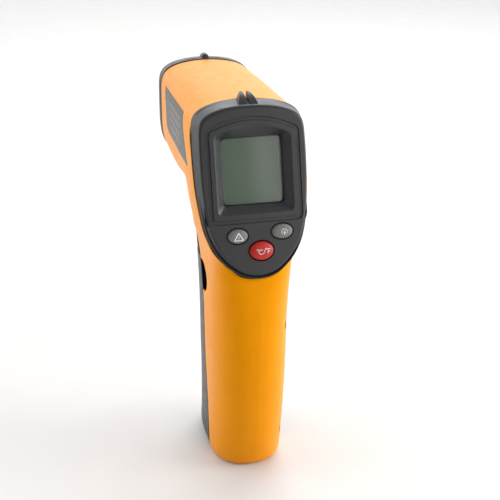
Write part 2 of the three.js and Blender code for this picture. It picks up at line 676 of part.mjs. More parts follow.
function buttons() {
  for (const [name, { u, v, a, b }] of Object.entries(BUTTONS)) {
    const cap = (inset, z) => ellipse(u, v, a - inset, b - inset).getPoints(6)
      .slice(0, 24).map((p) => new THREE.Vector3(p.x, p.y, z));
    const body = skin([cap(0, -3.4), cap(0, 0.7), cap(0.35, 1.15), cap(1.1, BUTTON_PROUD)]);
    const flange = plate(ellipse(u, v, a + BUTTON_FLANGE, b + BUTTON_FLANGE), -4.2, -3.3, 5);
    const stem = rod("z", 1.2, -5.2, -4, [u, v, 0], 12);
    add(display, `${name}_button`, name === "units" ? "redButton" : "greyButton", join(body, flange, stem));
  }
}

// ---- Nose -----------------------------------------------------------------------------------

function noseBezel() {
  const stops = [NOSE_Y + GAP, 78.6, 80.4, 81.5, NOSE_FRONT];
  const insets = [0, 0, 0.5, 1.5, 3.2];
  const outer = skin(stops.map((y, i) => sectionRing(barrelSection(y), insets[i], 40)));
  const back = skin([70, 76.6].map((y) => sectionRing(barrelSection(y), WALL, 40)));
  const dish = skin([[78.9, 5.2], [90, 3.2]].map(([y, inset]) => sectionRing(barrelSection(y), inset, 40)));
  const holes = [
    rod("y", APERTURE.radius + 1.2, 60, 90, [0, 0, APERTURE.z], 28),
    rod("y", LASER.radius, 60, 90, [0, 0, LASER.z], 18),
  ];
  const sight = new THREE.Shape();
  sight.moveTo(-1.8, 149);
  sight.quadraticCurveTo(-1.5, 152.1, 0, 152.2);
  sight.quadraticCurveTo(1.5, 152.1, 1.8, 149);
  sight.closePath();
  const bump = new THREE.ExtrudeGeometry(sight, { depth: 5, bevelEnabled: false, curveSegments: 4 });
  bump.rotateX(Math.PI / 2).translate(0, 79.4, 0);
  add(thermometer, "nose_bezel", "charcoal", join(cut(outer, back, dish, ...holes), bump));
}

// Turned piece about a barrel line at height z: profile rows are [radius, y].
function turned(profile, z, sides = 28) {
  const points = profile.map(([r, y]) => new THREE.Vector2(r, y));
  return new THREE.LatheGeometry([...points, points[0].clone()], sides).translate(0, 0, z);
}

function optics() {
  const z = APERTURE.z;
  const funnelProfile = [
    [9.5, 53], [9.5, 78.5], [8.6, 78.5], [6.2, 67], [5.4, 66.4], [5.4, 62], [7.6, 61.2], [7.6, 53],
  ];
  add(thermometer, "lens_funnel", "black", turned(funnelProfile, z));
  const lens = turned([[0, 62.6], [2.5, 62.75], [5.1, 63.4], [5.1, 64.6], [2.5, 65.3], [0, 65.5]], z, 16);
  add(thermometer, "infrared_lens", "lens", lens);
  add(thermometer, "thermopile_sensor", "steel", join(
    rod("y", 4.1, 55, 59.4, [0, 0, z], 24),
    rod("y", 4.6, 54.2, 55.2, [0, 0, z], 24),
  ));
  add(thermometer, "sensor_board", "board", rod("y", 7.2, 52.9, 53.9, [0, 0, z], 24));
  const laser = LASER.z;
  add(thermometer, "laser_module", "brass", join(
    rod("y", 3, 60, 74.5, [0, 0, laser], 20),
    rod("y", 2.4, 56.5, 60.2, [0, 0, laser], 20),
  ));
  add(thermometer, "laser_lens", "clear", rod("y", 1.7, 74.9, 76.2, [0, 0, laser], 16));
}

// ---- Inside the grip ------------------------------------------------------------------------

// Tray that holds both cells side by side, open towards the door.
function batteryTray() {
  const { radius: r, length, x, y, z } = CELL;
  const [low, high] = [z - 4, z + length + 4.2];
  const [wide, back] = [x + r + 0.6, y - r - 1.2];
  const tray = cut(
    box(-wide - 1.1, wide + 1.1, back - 1.2, y + 1.5, low, high),
    box(-wide, wide, back, y + 10, low + 1.4, high - 1.4),
  );
  const divider = box(-0.15, 0.15, back - 0.3, y - 1, low + 8, high - 8);
  const posts = [low + 5, high - 6].map((at) => box(-0.35, 0.35, back - 0.4, y - 2.5, at, at + 1));
  add(thermometer, "battery_tray", "black", join(tray, divider, ...posts));
}

function cells() {
  const { radius, length, x, y, z } = CELL;
  for (const [name, side, up] of [["battery_1", -1, 1], ["battery_2", 1, -1]]) {
    const nub = up > 0 ? [z + length - 0.2, z + length + 1] : [z - 1, z + 0.2];
    const cell = join(
      rod("z", radius, z, z + length, [side * x, y, 0], 24),
      rod("z", 1.9, nub[0], nub[1], [side * x, y, 0], 14),
    );
    add(thermometer, name, "cell", cell);
  }
}

// Flat contact plates and conical springs at the two ends of the cells.
function contacts() {
  const { radius, length, x, y, z } = CELL;
  const [low, high] = [z - 2.3, z + length + 2.5];
  add(thermometer, "contact_bridge", "steel", box(-x - 4, x + 4, y - 4, y + 4, low, low + 0.4));
  add(thermometer, "contact_positive", "steel", box(-x - 4, -x + 4, y - 4, y + 4, high - 0.4, high));
  add(thermometer, "contact_negative", "steel", box(x - 4, x + 4, y - 4, y + 4, high - 0.4, high));
  const spring = (wide, narrow, from, to, at) => {
    const turns = 2;
    const rise = (to - from) / turns;
    const route = new THREE.CatmullRomCurve3(Array.from({ length: turns * 8 + 1 }, (_, i) => {
      const share = i / (turns * 8);
      const r = wide + (narrow - wide) * share;
      const a = share * turns * 2 * Math.PI;
      return new THREE.Vector3(at + r * Math.cos(a), y + r * Math.sin(a), from + rise * turns * share);
    }));
    const section = new THREE.Shape();
    section.absarc(0, 0, 0.2, 0, 2 * Math.PI);
    return new THREE.ExtrudeGeometry(section, { steps: 24, extrudePath: route, curveSegments: 2 });
  };
  add(thermometer, "spring_contact_1", "steel", spring(radius - 1.6, 2, low + 0.75, z - 0.35, -x));
  add(thermometer, "spring_contact_2", "steel", spring(2, radius - 1.6, z + length + 0.35, high - 0.75, x));
}

// ---- Trigger's switch and spring ------------------------------------------------------------

function triggerSwitch() {
  const body = join(box(-3, 3, 11.6, 17.2, 88.5, 94.5), rod("y", 1.4, 17, 21.8, [0, 0, 91.5], 14));
  add(thermometer, "trigger_switch", "black", body);
}

// Torsion spring wound round the trigger's pin.
function triggerSpring() {
  const { y, z } = TRIGGER_PIN;
  const [turns, perTurn, radius, halfLength] = [4, 8, 1.9, 3];
  const route = Array.from({ length: turns * perTurn + 1 }, (_, i) => {
    const a = (i / perTurn) * 2 * Math.PI;
    const x = -halfLength + (2 * halfLength * i) / (turns * perTurn);
    return new THREE.Vector3(x, y + radius * Math.cos(a), z + radius * Math.sin(a));
  });
  const section = new THREE.Shape();
  section.absarc(0, 0, 0.3, 0, 2 * Math.PI);
  const extrudePath = new THREE.CatmullRomCurve3(route);
  const options = { steps: turns * perTurn, extrudePath, curveSegments: 2 };
  add(thermometer, "trigger_spring", "steel", new THREE.ExtrudeGeometry(section, options));
}

// ---- Label plates, screws and leads ---------------------------------------------------------

// Rating plates on the two sides, leaning like the display at the back.
function sideLabels() {
  const { low, high, rearLow, rearHigh, frontLow, frontHigh, corner, thickness } = LABEL;
  const shape = outline([
    [rearLow, low], [frontLow - corner.along, low], [frontLow, low + corner.up],
    [frontHigh, high], [rearHigh, high],
  ]);
  const taper = Math.atan2(1.43, 45.6); // the barrel narrows towards the nose
  for (const [name, side] of [["label_left", -1], ["label_right", 1]]) {
    const plateShape = slab(shape, -thickness / 2, thickness / 2).rotateZ(side * taper);
    add(thermometer, name, "black", plateShape.translate(side * 22.6, 0, 0));
  }
}

function screws() {
  SCREWS.forEach(([y, z], i) => {
    const head = rod("x", SCREW_HEAD.radius, SCREW_HEAD.from, SCREW_HEAD.to, [0, y, z], 16);
    const shank = rod("x", SCREW_SHANK, -8, SCREW_HEAD.from + 0.3, [0, y, z], 10);
    const slot = box(SCREW_HEAD.to - 0.8, 20, y - 0.35, y + 0.35, z - 1.4, z + 1.4);
    const cross = box(SCREW_HEAD.to - 0.8, 20, y - 1.4, y + 1.4, z - 0.35, z + 0.35);
    add(thermometer, `shell_screw_${i + 1}`, "steel", cut(join(head, shank), slot, cross));
  });
  const { across, up } = BOARD_SCREW;
  [-across, across].forEach((u, i) => {
    const screw = join(
      rod("z", 1.8, BOARD - 1.7, BOARD - 0.3, [u, up, 0], 14),
      rod("z", 0.8, BOARD - 0.5, BOARD + 4, [u, up, 0], 10),
    );
    add(display, `board_screw_${i + 1}`, "steel", screw);
  });
}

function lead(name, colour, points) {
  const section = new THREE.Shape();
  section.absarc(0, 0, 0.55, 0, 2 * Math.PI);
  const route = new THREE.CatmullRomCurve3(points.map(([x, y, z]) => new THREE.Vector3(x, y, z)));
  const options = { steps: 18, extrudePath: route, curveSegments: 3 };
  add(thermometer, name, colour, new THREE.ExtrudeGeometry(section, options));
}

// Internal leads: cells to the board, board to the sensor and to the laser.
function leads() {
  const fromCells = (side) => [
    [side * 5.6, 3.5, 64.6], [side * 5.8, 0, 68], [side * 7.5, -5, 76], [side * 7.5, -5.5, 86],
    [side * 5, -4.6, 94],
  ];
  lead("lead_positive", "leadRed", fromCells(-1));
  lead("lead_negative", "leadBlack", fromCells(1));
  lead("lead_sensor", "leadBlack", [
    [0, 52.2, 119], [0, 46, 118], [-2, 34, 120], [-3, 22, 122], [-4, 12, 124], [-4, 8.2, 125],
  ]);
  lead("lead_laser", "leadRed", [
    [0, 55.6, 141], [0, 50, 139.6], [2, 40, 137], [3, 28, 134], [4, 17, 132], [4, 10.2, 131],
  ]);
}

shells();
batteryDoor();
trigger();
triggerPin();
rearBezel();
displayStack();
circuitBoard();
buttons();
noseBezel();
optics();
batteryTray();
cells();
contacts();
triggerSwitch();
triggerSpring();
sideLabels();
screws();
leads();

const size = new THREE.Box3().setFromObject(thermometer, true);
thermometer.position.y = -(size.min.y + size.max.y) / 2;

export default thermometer;
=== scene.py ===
import json
import math

import bmesh
import bpy
import numpy as np
from mathutils import Matrix, Vector


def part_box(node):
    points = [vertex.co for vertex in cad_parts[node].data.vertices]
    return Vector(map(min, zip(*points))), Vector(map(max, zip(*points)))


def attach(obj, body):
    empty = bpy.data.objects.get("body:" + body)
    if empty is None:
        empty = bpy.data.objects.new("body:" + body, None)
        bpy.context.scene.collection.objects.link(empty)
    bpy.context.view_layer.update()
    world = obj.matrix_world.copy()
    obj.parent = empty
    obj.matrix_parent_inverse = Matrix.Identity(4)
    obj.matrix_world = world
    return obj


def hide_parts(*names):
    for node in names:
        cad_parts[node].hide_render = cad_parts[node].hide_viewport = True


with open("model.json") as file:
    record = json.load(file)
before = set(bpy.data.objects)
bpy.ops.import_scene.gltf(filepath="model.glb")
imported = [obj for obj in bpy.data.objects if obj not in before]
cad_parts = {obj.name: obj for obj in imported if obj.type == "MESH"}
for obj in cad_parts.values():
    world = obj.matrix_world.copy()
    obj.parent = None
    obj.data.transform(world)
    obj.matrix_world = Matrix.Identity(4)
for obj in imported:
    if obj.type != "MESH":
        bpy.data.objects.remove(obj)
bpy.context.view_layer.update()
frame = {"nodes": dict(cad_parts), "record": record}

CAD_SLOTS = {part["node"]: part["material_slot"] for part in frame["record"]["subparts"]}
MM = 0.001

# ---- Driving dimensions, the same as the CAD's

GAP = 0.3
WALL = 1.8
PIVOT_Y, PIVOT_Z = 48.0, 90.0
NOSE_Y, NOSE_FRONT, NOSE_TOP = 73.3, 82.1, 150.45
BARREL_MID, BARREL_TOP, BARREL_SLOPE = 131.0, 150.1, 0.0123
FACE_Y, FACE_Z, FACE_LEAN = -7.0, 126.04, math.radians(16.76)
SEAM_Y, SEAM_Z, SEAM_LEAN = 8.36, 149.2, math.radians(21.3)
SHIFT_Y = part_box("nose_bezel")[1].y / MM - NOSE_FRONT  # handle's frame to row frame

WINDOW = (11.7, 12.4, 3.1)  # half width, half height, depth of the display's window
APERTURE_Z, LASER_Z = 122.0, 141.0
BUTTONS = {  # across, up the face, half width, half height
    "laser": (-7.8, -23.5, 3.75, 2.65),
    "backlight": (9.2, -22.9, 4.0, 2.75),
    "units": (0.9, -29.5, 4.55, 3.5),
}
EDGE = [(1.5, -1), (1.7, 5), (2.7, 23), (6.5, 45), (9.2, 67), (14.2, 84.1)]
TRIGGER_EDGE = [(17.2, 88), (20.5, 91.4), (25.4, 94.2), (31, 97.6), (37, 100.4), (47.5, 101.8)]
SCREWS = [(-8.8, 13.5), (-9.6, 63), (25.5, 112.6), (31, 139)]
NOTCH = (10.5, 77.6, 7.4, 6.4)  # y, z, half depth, half height
DOOR_TOP = 83.4
HINGE = (0, 24.4, 4.7)  # middle of the door's hinge pin
TRIGGER_PIN = (0, 38.4, 105.1)


# ---- Curves, fields and mesh helpers

def smooth_rows(rows):
    """Smooth curve through rows [t, a, b, ...], read at any t."""
    rows = np.array(rows, float)
    t = rows[:, 0]
    last = len(rows) - 1

    def slope(i):
        low, high = max(i - 1, 0), min(i + 1, last)
        return (rows[high] - rows[low]) / (t[high] - t[low])

    def at(x):
        i = min(max(int(np.searchsorted(t, x)), 1), last)
        h = t[i] - t[i - 1]
        s = (x - t[i - 1]) / h
        s2, s3 = s * s, s * s * s
        return (rows[i - 1] * (2 * s3 - 3 * s2 + 1) + h * slope(i - 1) * (s3 - 2 * s2 + s)
                + rows[i] * (3 * s2 - 2 * s3) + h * slope(i) * (s3 - s2))
    return at


def step(low, high, x):
    """Smooth step from 0 at low to 1 at high."""
    s = np.clip((x - low) / (high - low), 0, 1)
    return s * s * (3 - 2 * s)


def outside(points, a, b):
    """Signed distance of (a, b) from a closed outline, positive outside."""
    points = np.array(points, float)
    best = np.full(len(a), 1e9)
    inside = np.zeros(len(a), bool)
    for (x0, y0), (x1, y1) in zip(points, np.roll(points, -1, axis=0)):
        dx, dy = x1 - x0, y1 - y0
        share = np.clip(((a - x0) * dx + (b - y0) * dy) / (dx * dx + dy * dy), 0, 1)
        best = np.minimum(best, np.hypot(a - x0 - share * dx, b - y0 - share * dy))
        if y0 != y1:
            inside ^= ((y0 > b) != (y1 > b)) & (a < (x1 - x0) * (b - y0) / (y1 - y0) + x0)
    return np.where(inside, -best, best)


def ellipse_distance(a, b, centre, size):
    """About the distance from an ellipse, positive outside."""
    x, y = (a - centre[0]) / size[0], (b - centre[1]) / size[1]
    q = np.hypot(x, y)
    slope = np.hypot(x / size[0], y / size[1]) / np.maximum(q, 1e-6)
    return (q - 1) / np.maximum(slope, 1e-6)


def grid(points, closed=False):
    """Mesh of quads through a table of points, rows by columns."""
    points = np.asarray(points, float)
    rows, columns = points.shape[:2]
    index = np.arange(rows * columns).reshape(rows, columns)
    right = np.roll(index, -1, axis=1)
    if not closed:
        index, right = index[:, :-1], right[:, :-1]
    quads = np.stack([index[:-1], right[:-1], right[1:], index[1:]], axis=-1).reshape(-1, 4)
    mesh = bpy.data.meshes.new("grid")
    mesh.from_pydata(points.reshape(-1, 3).tolist(), [], quads.tolist())
    bm = bmesh.new()
    bm.from_mesh(mesh)
    bpy.data.meshes.remove(mesh)
    bm.verts.layers.float_vector.new("place")
    bmesh.ops.remove_doubles(bm, verts=bm.verts, dist=1e-4)
    return bm


def places(bm):
    return np.array([v.co for v in bm.verts], float).reshape(-1, 3)


def score(bm, field, drop=False):
    """Adds an edge loop where the field is 0. With drop, what lies below it goes."""
    co = places(bm)
    value = field(co)
    layer = bm.verts.layers.float_vector["place"]
    for v, c, f in zip(bm.verts, co, value):
        v[layer] = c
        v.co = (c[0], c[1], f)
    geom = bm.verts[:] + bm.edges[:] + bm.faces[:]
    bmesh.ops.bisect_plane(bm, geom=geom, dist=2e-3, plane_co=(0, 0, 0), plane_no=(0, 0, 1), clear_inner=drop)
    for v in bm.verts:
        v.co = v[layer]


ARC = [1 - math.cos(math.radians(a)) for a in (22.5, 45, 67.5, 90)]


def trim(bm, edges):
    """Cuts the sheet along each (field, radius) and rounds the cut edges off."""
    for field, radius in edges:
        score(bm, field, drop=True)
    for field, radius in edges:
        if radius:
            for share in ARC:
                score(bm, lambda p: field(p) - radius * share)
    bm.normal_update()
    co = places(bm)
    depth = np.zeros(len(co))
    for field, radius in edges:
        if radius:
            left = radius - np.clip(field(co), 0, radius)
            depth = np.maximum(depth, radius - np.sqrt(radius * radius - left * left))
    for v, d in zip(bm.verts, depth):
        if d > 0:
            v.co -= v.normal * d


def close_middle(bm, centre):
    """Makes one point of the shrunken innermost ring."""
    inner = [v for v in bm.verts if (v.co - Vector(centre)).length < 0.01]
    bmesh.ops.remove_doubles(bm, verts=inner, dist=0.02)


def cap(bm):
    bmesh.ops.holes_fill(bm, edges=[e for e in bm.edges if e.is_boundary], sides=0)
    bmesh.ops.recalc_face_normals(bm, faces=bm.faces[:])


def face_out(bm, centre):
    """Turns the faces so that they look away from a line or point inside."""
    bm.normal_update()
    total = sum(f.normal.dot(f.calc_center_median() - Vector(centre)) * f.calc_area() for f in bm.faces)
    if total < 0:
        bmesh.ops.reverse_faces(bm, faces=bm.faces[:])
        bm.normal_update()


def linked(name, data):
    made = bpy.data.objects.new(name, data)
    bpy.context.scene.collection.objects.link(made)
    return made


def piece(bm, name, body, material, replaces=(), wall=0.0, bevel=0.0, sharp=40):
    """Turns a mesh in the handle's frame into a finished piece in the row frame."""
    bmesh.ops.translate(bm, vec=(0, SHIFT_Y, 0), verts=bm.verts)
    bmesh.ops.scale(bm, vec=(MM, MM, MM), verts=bm.verts)
    mesh = bpy.data.meshes.new(name)
    bm.to_mesh(mesh)
    bm.free()
    if "place" in mesh.attributes:
        mesh.attributes.remove(mesh.attributes["place"])
    made = linked(name, mesh)
    mesh.materials.append(MATERIALS[material])
    mesh.polygons.foreach_set("use_smooth", [True] * len(mesh.polygons))
    if wall:
        thick = made.modifiers.new("wall", "SOLIDIFY")
        thick.thickness = wall * MM
        thick.offset = -1
        thick.use_rim = True
    if bevel:
        soft = made.modifiers.new("soft edges", "BEVEL")
        soft.width = bevel * MM
        soft.segments = 3
        soft.limit_method = "ANGLE"
        soft.angle_limit = math.radians(sharp)
        soft.harden_normals = False
    mesh.set_sharp_from_angle(angle=math.radians(sharp))
    if replaces:
        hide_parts(*replaces)
    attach(made, body)


def joined(*parts):
    """One mesh from several."""
    whole = parts[0]
    for part in parts[1:]:
        mesh = bpy.data.meshes.new("part")
        part.to_mesh(mesh)
        whole.from_mesh(mesh)
        bpy.data.meshes.remove(mesh)
        part.free()
    return whole


def circle(count):
    """Cosines and sines all round."""
    angles = np.linspace(0, 2 * math.pi, count, endpoint=False)
    return np.cos(angles), np.sin(angles)


def lathe(profile, along="y", centre=(0, 0, 0), sides=64):
    """Turned sheet or solid: profile rows are (radius, distance along the axis)."""
    cosines, sines = circle(sides)
    rings = []
    for r, h in profile:
        a, b, c = r * cosines, r * sines, np.full(sides, float(h))
        order = {"x": [c, a, b], "y": [a, c, b], "z": [a, b, c]}[along]
        rings.append(np.stack(order, axis=1))
    bm = grid(np.array(rings) + np.array(centre, float), closed=True)
    bmesh.ops.recalc_face_normals(bm, faces=bm.faces[:])
    return bm


def arc_profile(points, radius, steps=4):
    """Rounds the inner corners of a profile."""
    points = [np.array(p, float) for p in points]
    result = [points[0]]
    for before, corner, after in zip(points, points[1:], points[2:]):
        into, out = before - corner, after - corner
        r = min(radius, np.linalg.norm(into) * 0.45, np.linalg.norm(out) * 0.45)
        start, end = corner + into / np.linalg.norm(into) * r, corner + out / np.linalg.norm(out) * r
        for s in np.linspace(0, 1, steps + 1):
            result.append((1 - s) ** 2 * start + 2 * s * (1 - s) * corner + s * s * end)
    result.append(points[-1])
    return result


def rib(side, near, far, *rest):
    """Block on one side, from near to far out."""
    return block(*sorted((side * near, side * far)), *rest)


def block(x0, x1, y0, y1, z0, z1):
    bm = bmesh.new()
    bmesh.ops.create_cube(bm, size=1)
    bm.verts.layers.float_vector.new("place")
    bmesh.ops.scale(bm, vec=(x1 - x0, y1 - y0, z1 - z0), verts=bm.verts)
    bmesh.ops.translate(bm, vec=((x0 + x1) / 2, (y0 + y1) / 2, (z0 + z1) / 2), verts=bm.verts)
    return bm


# ---- Materials

def fill(node, **values):
    """Fills a node's inputs: another node's output is linked in, anything else is the value."""
    for name, value in values.items():
        socket = node.inputs[name.replace("_", " ")]
        if isinstance(value, bpy.types.NodeSocket):
            socket.id_data.links.new(value, socket)
        elif socket.type == "RGBA" and len(value) == 3:
            socket.default_value = (*value, 1)
        else:
            socket.default_value = value
    return node


def map_range(nodes, value, from_low, from_high, low, high):
    made = nodes.new("ShaderNodeMapRange")
    return fill(made, Value=value, From_Min=from_low, From_Max=from_high, To_Min=low, To_Max=high)


class Finish:
    """A node material with its Principled shader and short-hands for procedural detail."""

    def __init__(self, name, colour, roughness=0.5, metal=0.0, **sockets):
        self.material = bpy.data.materials.new(name)
        self.material.use_nodes = True
        self.nodes = self.material.node_tree.nodes
        self.shader = self.nodes["Principled BSDF"]
        self.set(Base_Color=colour, Roughness=roughness, Metallic=metal, **sockets)
        self.place = self.add("TexCoord").outputs["Object"]

    def set(self, **sockets):
        fill(self.shader, **sockets)

    def add(self, kind, **sockets):
        return fill(self.nodes.new("ShaderNode" + kind), **sockets)

    def noise(self, size_mm, detail=3.0, rough=0.5, stretch=(1, 1, 1)):
        """Noise with features of about that size."""
        place = self.add("Mapping", Vector=self.place, Scale=stretch).outputs[0]
        made = self.add("TexNoise", Vector=place, Scale=1 / (size_mm * MM), Detail=detail, Roughness=rough)
        return made.outputs["Fac"]

    def cells(self, size_mm):
        return self.add("TexVoronoi", Vector=self.place, Scale=1 / (size_mm * MM)).outputs["Distance"]

    def ramp(self, source, stops):
        """Colour ramp; stops are two (position, colour) pairs."""
        made = self.add("ValToRGB", Fac=source)
        for element, (position, colour) in zip(made.color_ramp.elements, stops):
            element.position = position
            element.color = (*colour, 1)
        return made.outputs["Color"]

    def between(self, source, low, high, from_low=0.3, from_high=0.7):
        return map_range(self.nodes, source, from_low, from_high, low, high).outputs["Result"]

    def bump(self, source, depth_mm, strength=1.0):
        made = self.add("Bump", Distance=depth_mm * MM, Strength=strength, Height=source)
        self.set(Normal=made.outputs["Normal"])

    def math(self, operation, *values):
        made = self.add("Math")
        made.operation = operation
        for socket, value in zip(made.inputs, values):
            if isinstance(value, bpy.types.NodeSocket):
                socket.id_data.links.new(value, socket)
            else:
                socket.default_value = value
        return made.outputs[0]

    def mix(self, share, a, b):
        made = self.add("Mix")
        made.data_type = "RGBA"
        fill(made, Factor=share)
        for socket, value in ((made.inputs[6], a), (made.inputs[7], b)):
            if isinstance(value, tuple):
                socket.default_value = (*value, 1)
            else:
                socket.id_data.links.new(value, socket)
        return made.outputs[2]

    def xyz(self):
        return self.add("SeparateXYZ", Vector=self.place).outputs

    def uneven_gloss(self, size_mm, detail, low, high):
        self.set(Roughness=self.between(self.noise(size_mm, detail), low, high))

    def coloured(self, source, dark, light, low=0.3, high=0.7):
        self.set(Base_Color=self.ramp(source, [(low, dark), (high, light)]))


def shade(colour, by):
    return tuple(min(c * by, 1) for c in colour)


def moulded(name, colour, roughness, grain_mm, grain_depth, spread=0.05, **sockets):
    """Moulded plastic: cloudy colour, uneven gloss and a fine grain."""
    finish = Finish(name, colour, roughness, **sockets)
    finish.coloured(finish.noise(9, 4), shade(colour, 1 - spread), shade(colour, 1 + spread))
    finish.uneven_gloss(4, 5, roughness - 0.05, roughness + 0.06)
    finish.bump(finish.noise(grain_mm, 2, 0.6), grain_depth)
    return finish.material


YELLOW = (0.86, 0.3, 0.001)
DARK = (0.021, 0.022, 0.025)
BLACK = (0.012, 0.012, 0.014)
MOULDED = {  # colour, roughness, size and depth of the grain in mm, how cloudy
    "dark_plastic": (DARK, 0.4, 0.2, 0.006, 0.08),
    "black_plastic": (BLACK, 0.4, 0.3, 0.005, 0.1),
    "white_diffuser": ((0.78, 0.8, 0.82), 0.5, 0.5, 0.004, 0.02),
    "red_lead": ((0.42, 0.02, 0.014), 0.45, 0.4, 0.005, 0.08),
    "black_lead": (BLACK, 0.45, 0.4, 0.005, 0.1),
    "ink": ((0.8, 0.8, 0.78), 0.5, 0.3, 0.003, 0.04),
}


def make_materials():
    made = {name: moulded(name, *look) for name, look in MOULDED.items()}
    made["yellow_plastic"] = moulded(
        "yellow_plastic", YELLOW, 0.4, 0.22, 0.004, 0.02, Specular_Tint=(1, 0.45, 0.02, 1))
    made["grey_rubber"] = speckled("grey_rubber", (0.13, 0.137, 0.13), (0.22, 0.23, 0.218), 0.5)
    made["red_rubber"] = speckled("red_rubber", (0.42, 0.008, 0.004), (0.52, 0.016, 0.008), 0.42)
    made["black_rubber"] = striped("black_rubber", BLACK, (0.1, 0.1, 0.1), 0.4)
    made["lcd_glass"] = display_glass()
    made["clear_window"] = clear("clear_window", (0.75, 0.8, 0.76), 0.07)
    made["infrared_lens"] = clear("infrared_lens", (0.3, 0.22, 0.14), 0.6)
    made["circuit_board"] = circuit_board()
    made["steel"] = metal("steel", (0.42, 0.43, 0.45), 0.3)
    made["brass"] = metal("brass", (0.63, 0.43, 0.16), 0.24)
    made["battery_can"] = battery_can()
    made["black_label"] = label_print()
    return made


def speckled(name, dark, light, roughness):
    """Silicone rubber with fine light specks."""
    finish = Finish(name, dark, roughness)
    finish.coloured(finish.noise(0.33, 2, 0.7), dark, light, 0.42, 0.62)
    finish.uneven_gloss(1.5, 3, roughness - 0.06, roughness + 0.08)
    finish.bump(finish.noise(0.25, 2), 0.015, 0.8)
    return finish.material


def striped(name, dark, light, pitch):
    """Elastomer with fine conducting lines across it."""
    finish = Finish(name, dark, 0.6)
    wave = finish.math("SINE", finish.math("MULTIPLY", finish.xyz()[0], 2 * math.pi / (pitch * MM)))
    finish.coloured(finish.between(wave, 0, 1, -1, 1), dark, light, 0.45, 0.55)
    finish.bump(wave, 0.02, 0.5)
    return finish.material


def display_glass():
    """Switched-off liquid crystal panel: grey-green, slightly uneven, greyer along its sides."""
    finish = Finish("lcd_glass", (0.015, 0.053, 0.015), 0.1)
    green = finish.ramp(finish.noise(16, 2), [(0.3, (0.012, 0.05, 0.012)), (0.7, (0.018, 0.057, 0.018))])
    rim = finish.between(finish.math("ABSOLUTE", finish.xyz()[0]), 0, 1, 10.4 * MM, 11.6 * MM)
    finish.set(Base_Color=finish.mix(rim, green, (0.09, 0.085, 0.1)))
    finish.uneven_gloss(7, 2, 0.09, 0.11)
    return finish.material


def clear(name, tint, cover):
    """Clear plastic or glass that hides only this share of what is behind it."""
    finish = Finish(name, tint, 0.05, Alpha=cover)
    finish.uneven_gloss(6, 3, 0.04, 0.08)
    return finish.material


def metal(name, colour, roughness):
    """Plated or turned metal with fine drawn lines."""
    finish = Finish(name, colour, roughness, 1.0)
    lines = finish.noise(0.5, 4, 0.6, (1, 1, 0.08))
    finish.coloured(lines, shade(colour, 0.82), shade(colour, 1.08))
    finish.set(Roughness=finish.between(lines, roughness - 0.08, roughness + 0.12))
    finish.bump(lines, 0.004, 0.6)
    return finish.material


def circuit_board():
    """Green solder mask over copper lines."""
    finish = Finish("circuit_board", (0.01, 0.12, 0.04), 0.35)
    lines = finish.cells(1.6)
    finish.coloured(lines, (0.02, 0.2, 0.07), (0.008, 0.1, 0.035), 0.28, 0.34)
    finish.uneven_gloss(2, 3, 0.28, 0.42)
    finish.bump(lines, 0.03, 0.4)
    return finish.material


def battery_can():
    """Plain two-tone sleeve."""
    finish = Finish("battery_can", (0.05, 0.08, 0.12), 0.3)
    grain = finish.noise(0.4, 2)
    band = finish.math("GREATER_THAN", finish.xyz()[2], 46 * MM)
    finish.set(Base_Color=finish.mix(band, (0.035, 0.06, 0.1), (0.62, 0.36, 0.12)))
    finish.set(Roughness=finish.between(grain, 0.22, 0.34))
    finish.bump(grain, 0.003, 0.5)
    return finish.material


def label_print():
    """Dark film with four faint plain lines, which say nothing."""
    finish = Finish("black_label", (0.095, 0.097, 0.1), 0.42)
    _, y, z = finish.xyz()
    film = finish.ramp(finish.noise(3, 3), [(0.3, (0.06, 0.06, 0.058)), (0.7, (0.078, 0.077, 0.074))])
    row = finish.math("FRACT", finish.math("MULTIPLY", z, 1 / (3.1 * MM)))
    in_row = finish.math("COMPARE", row, 0.5, 0.09)
    near = finish.math("COMPARE", z, 133.6 * MM, 6.2 * MM)
    along = finish.math("COMPARE", y, 4.5 * MM, 12.5 * MM)
    ink = finish.math("MULTIPLY", finish.math("MULTIPLY", in_row, near), along)
    finish.set(Base_Color=finish.mix(finish.math("MULTIPLY", ink, 0.5), film, (0.42, 0.34, 0.2)))
    finish.uneven_gloss(1.2, 3, 0.36, 0.48)
    finish.bump(ink, 0.01, 0.4)
    return finish.material


MATERIALS = make_materials()

# ---- The body's swept skin

# By y: half width, underside z, power of the lower corners.
barrel = smooth_rows([
    [48, 20.7, 104.2, 3.2],
    [60, 20.4, 105.3, 3.4],
    [NOSE_Y, 20.0, 107.0, 3.6],
    [NOSE_FRONT, 20.2, 107.2, 3.6],
])
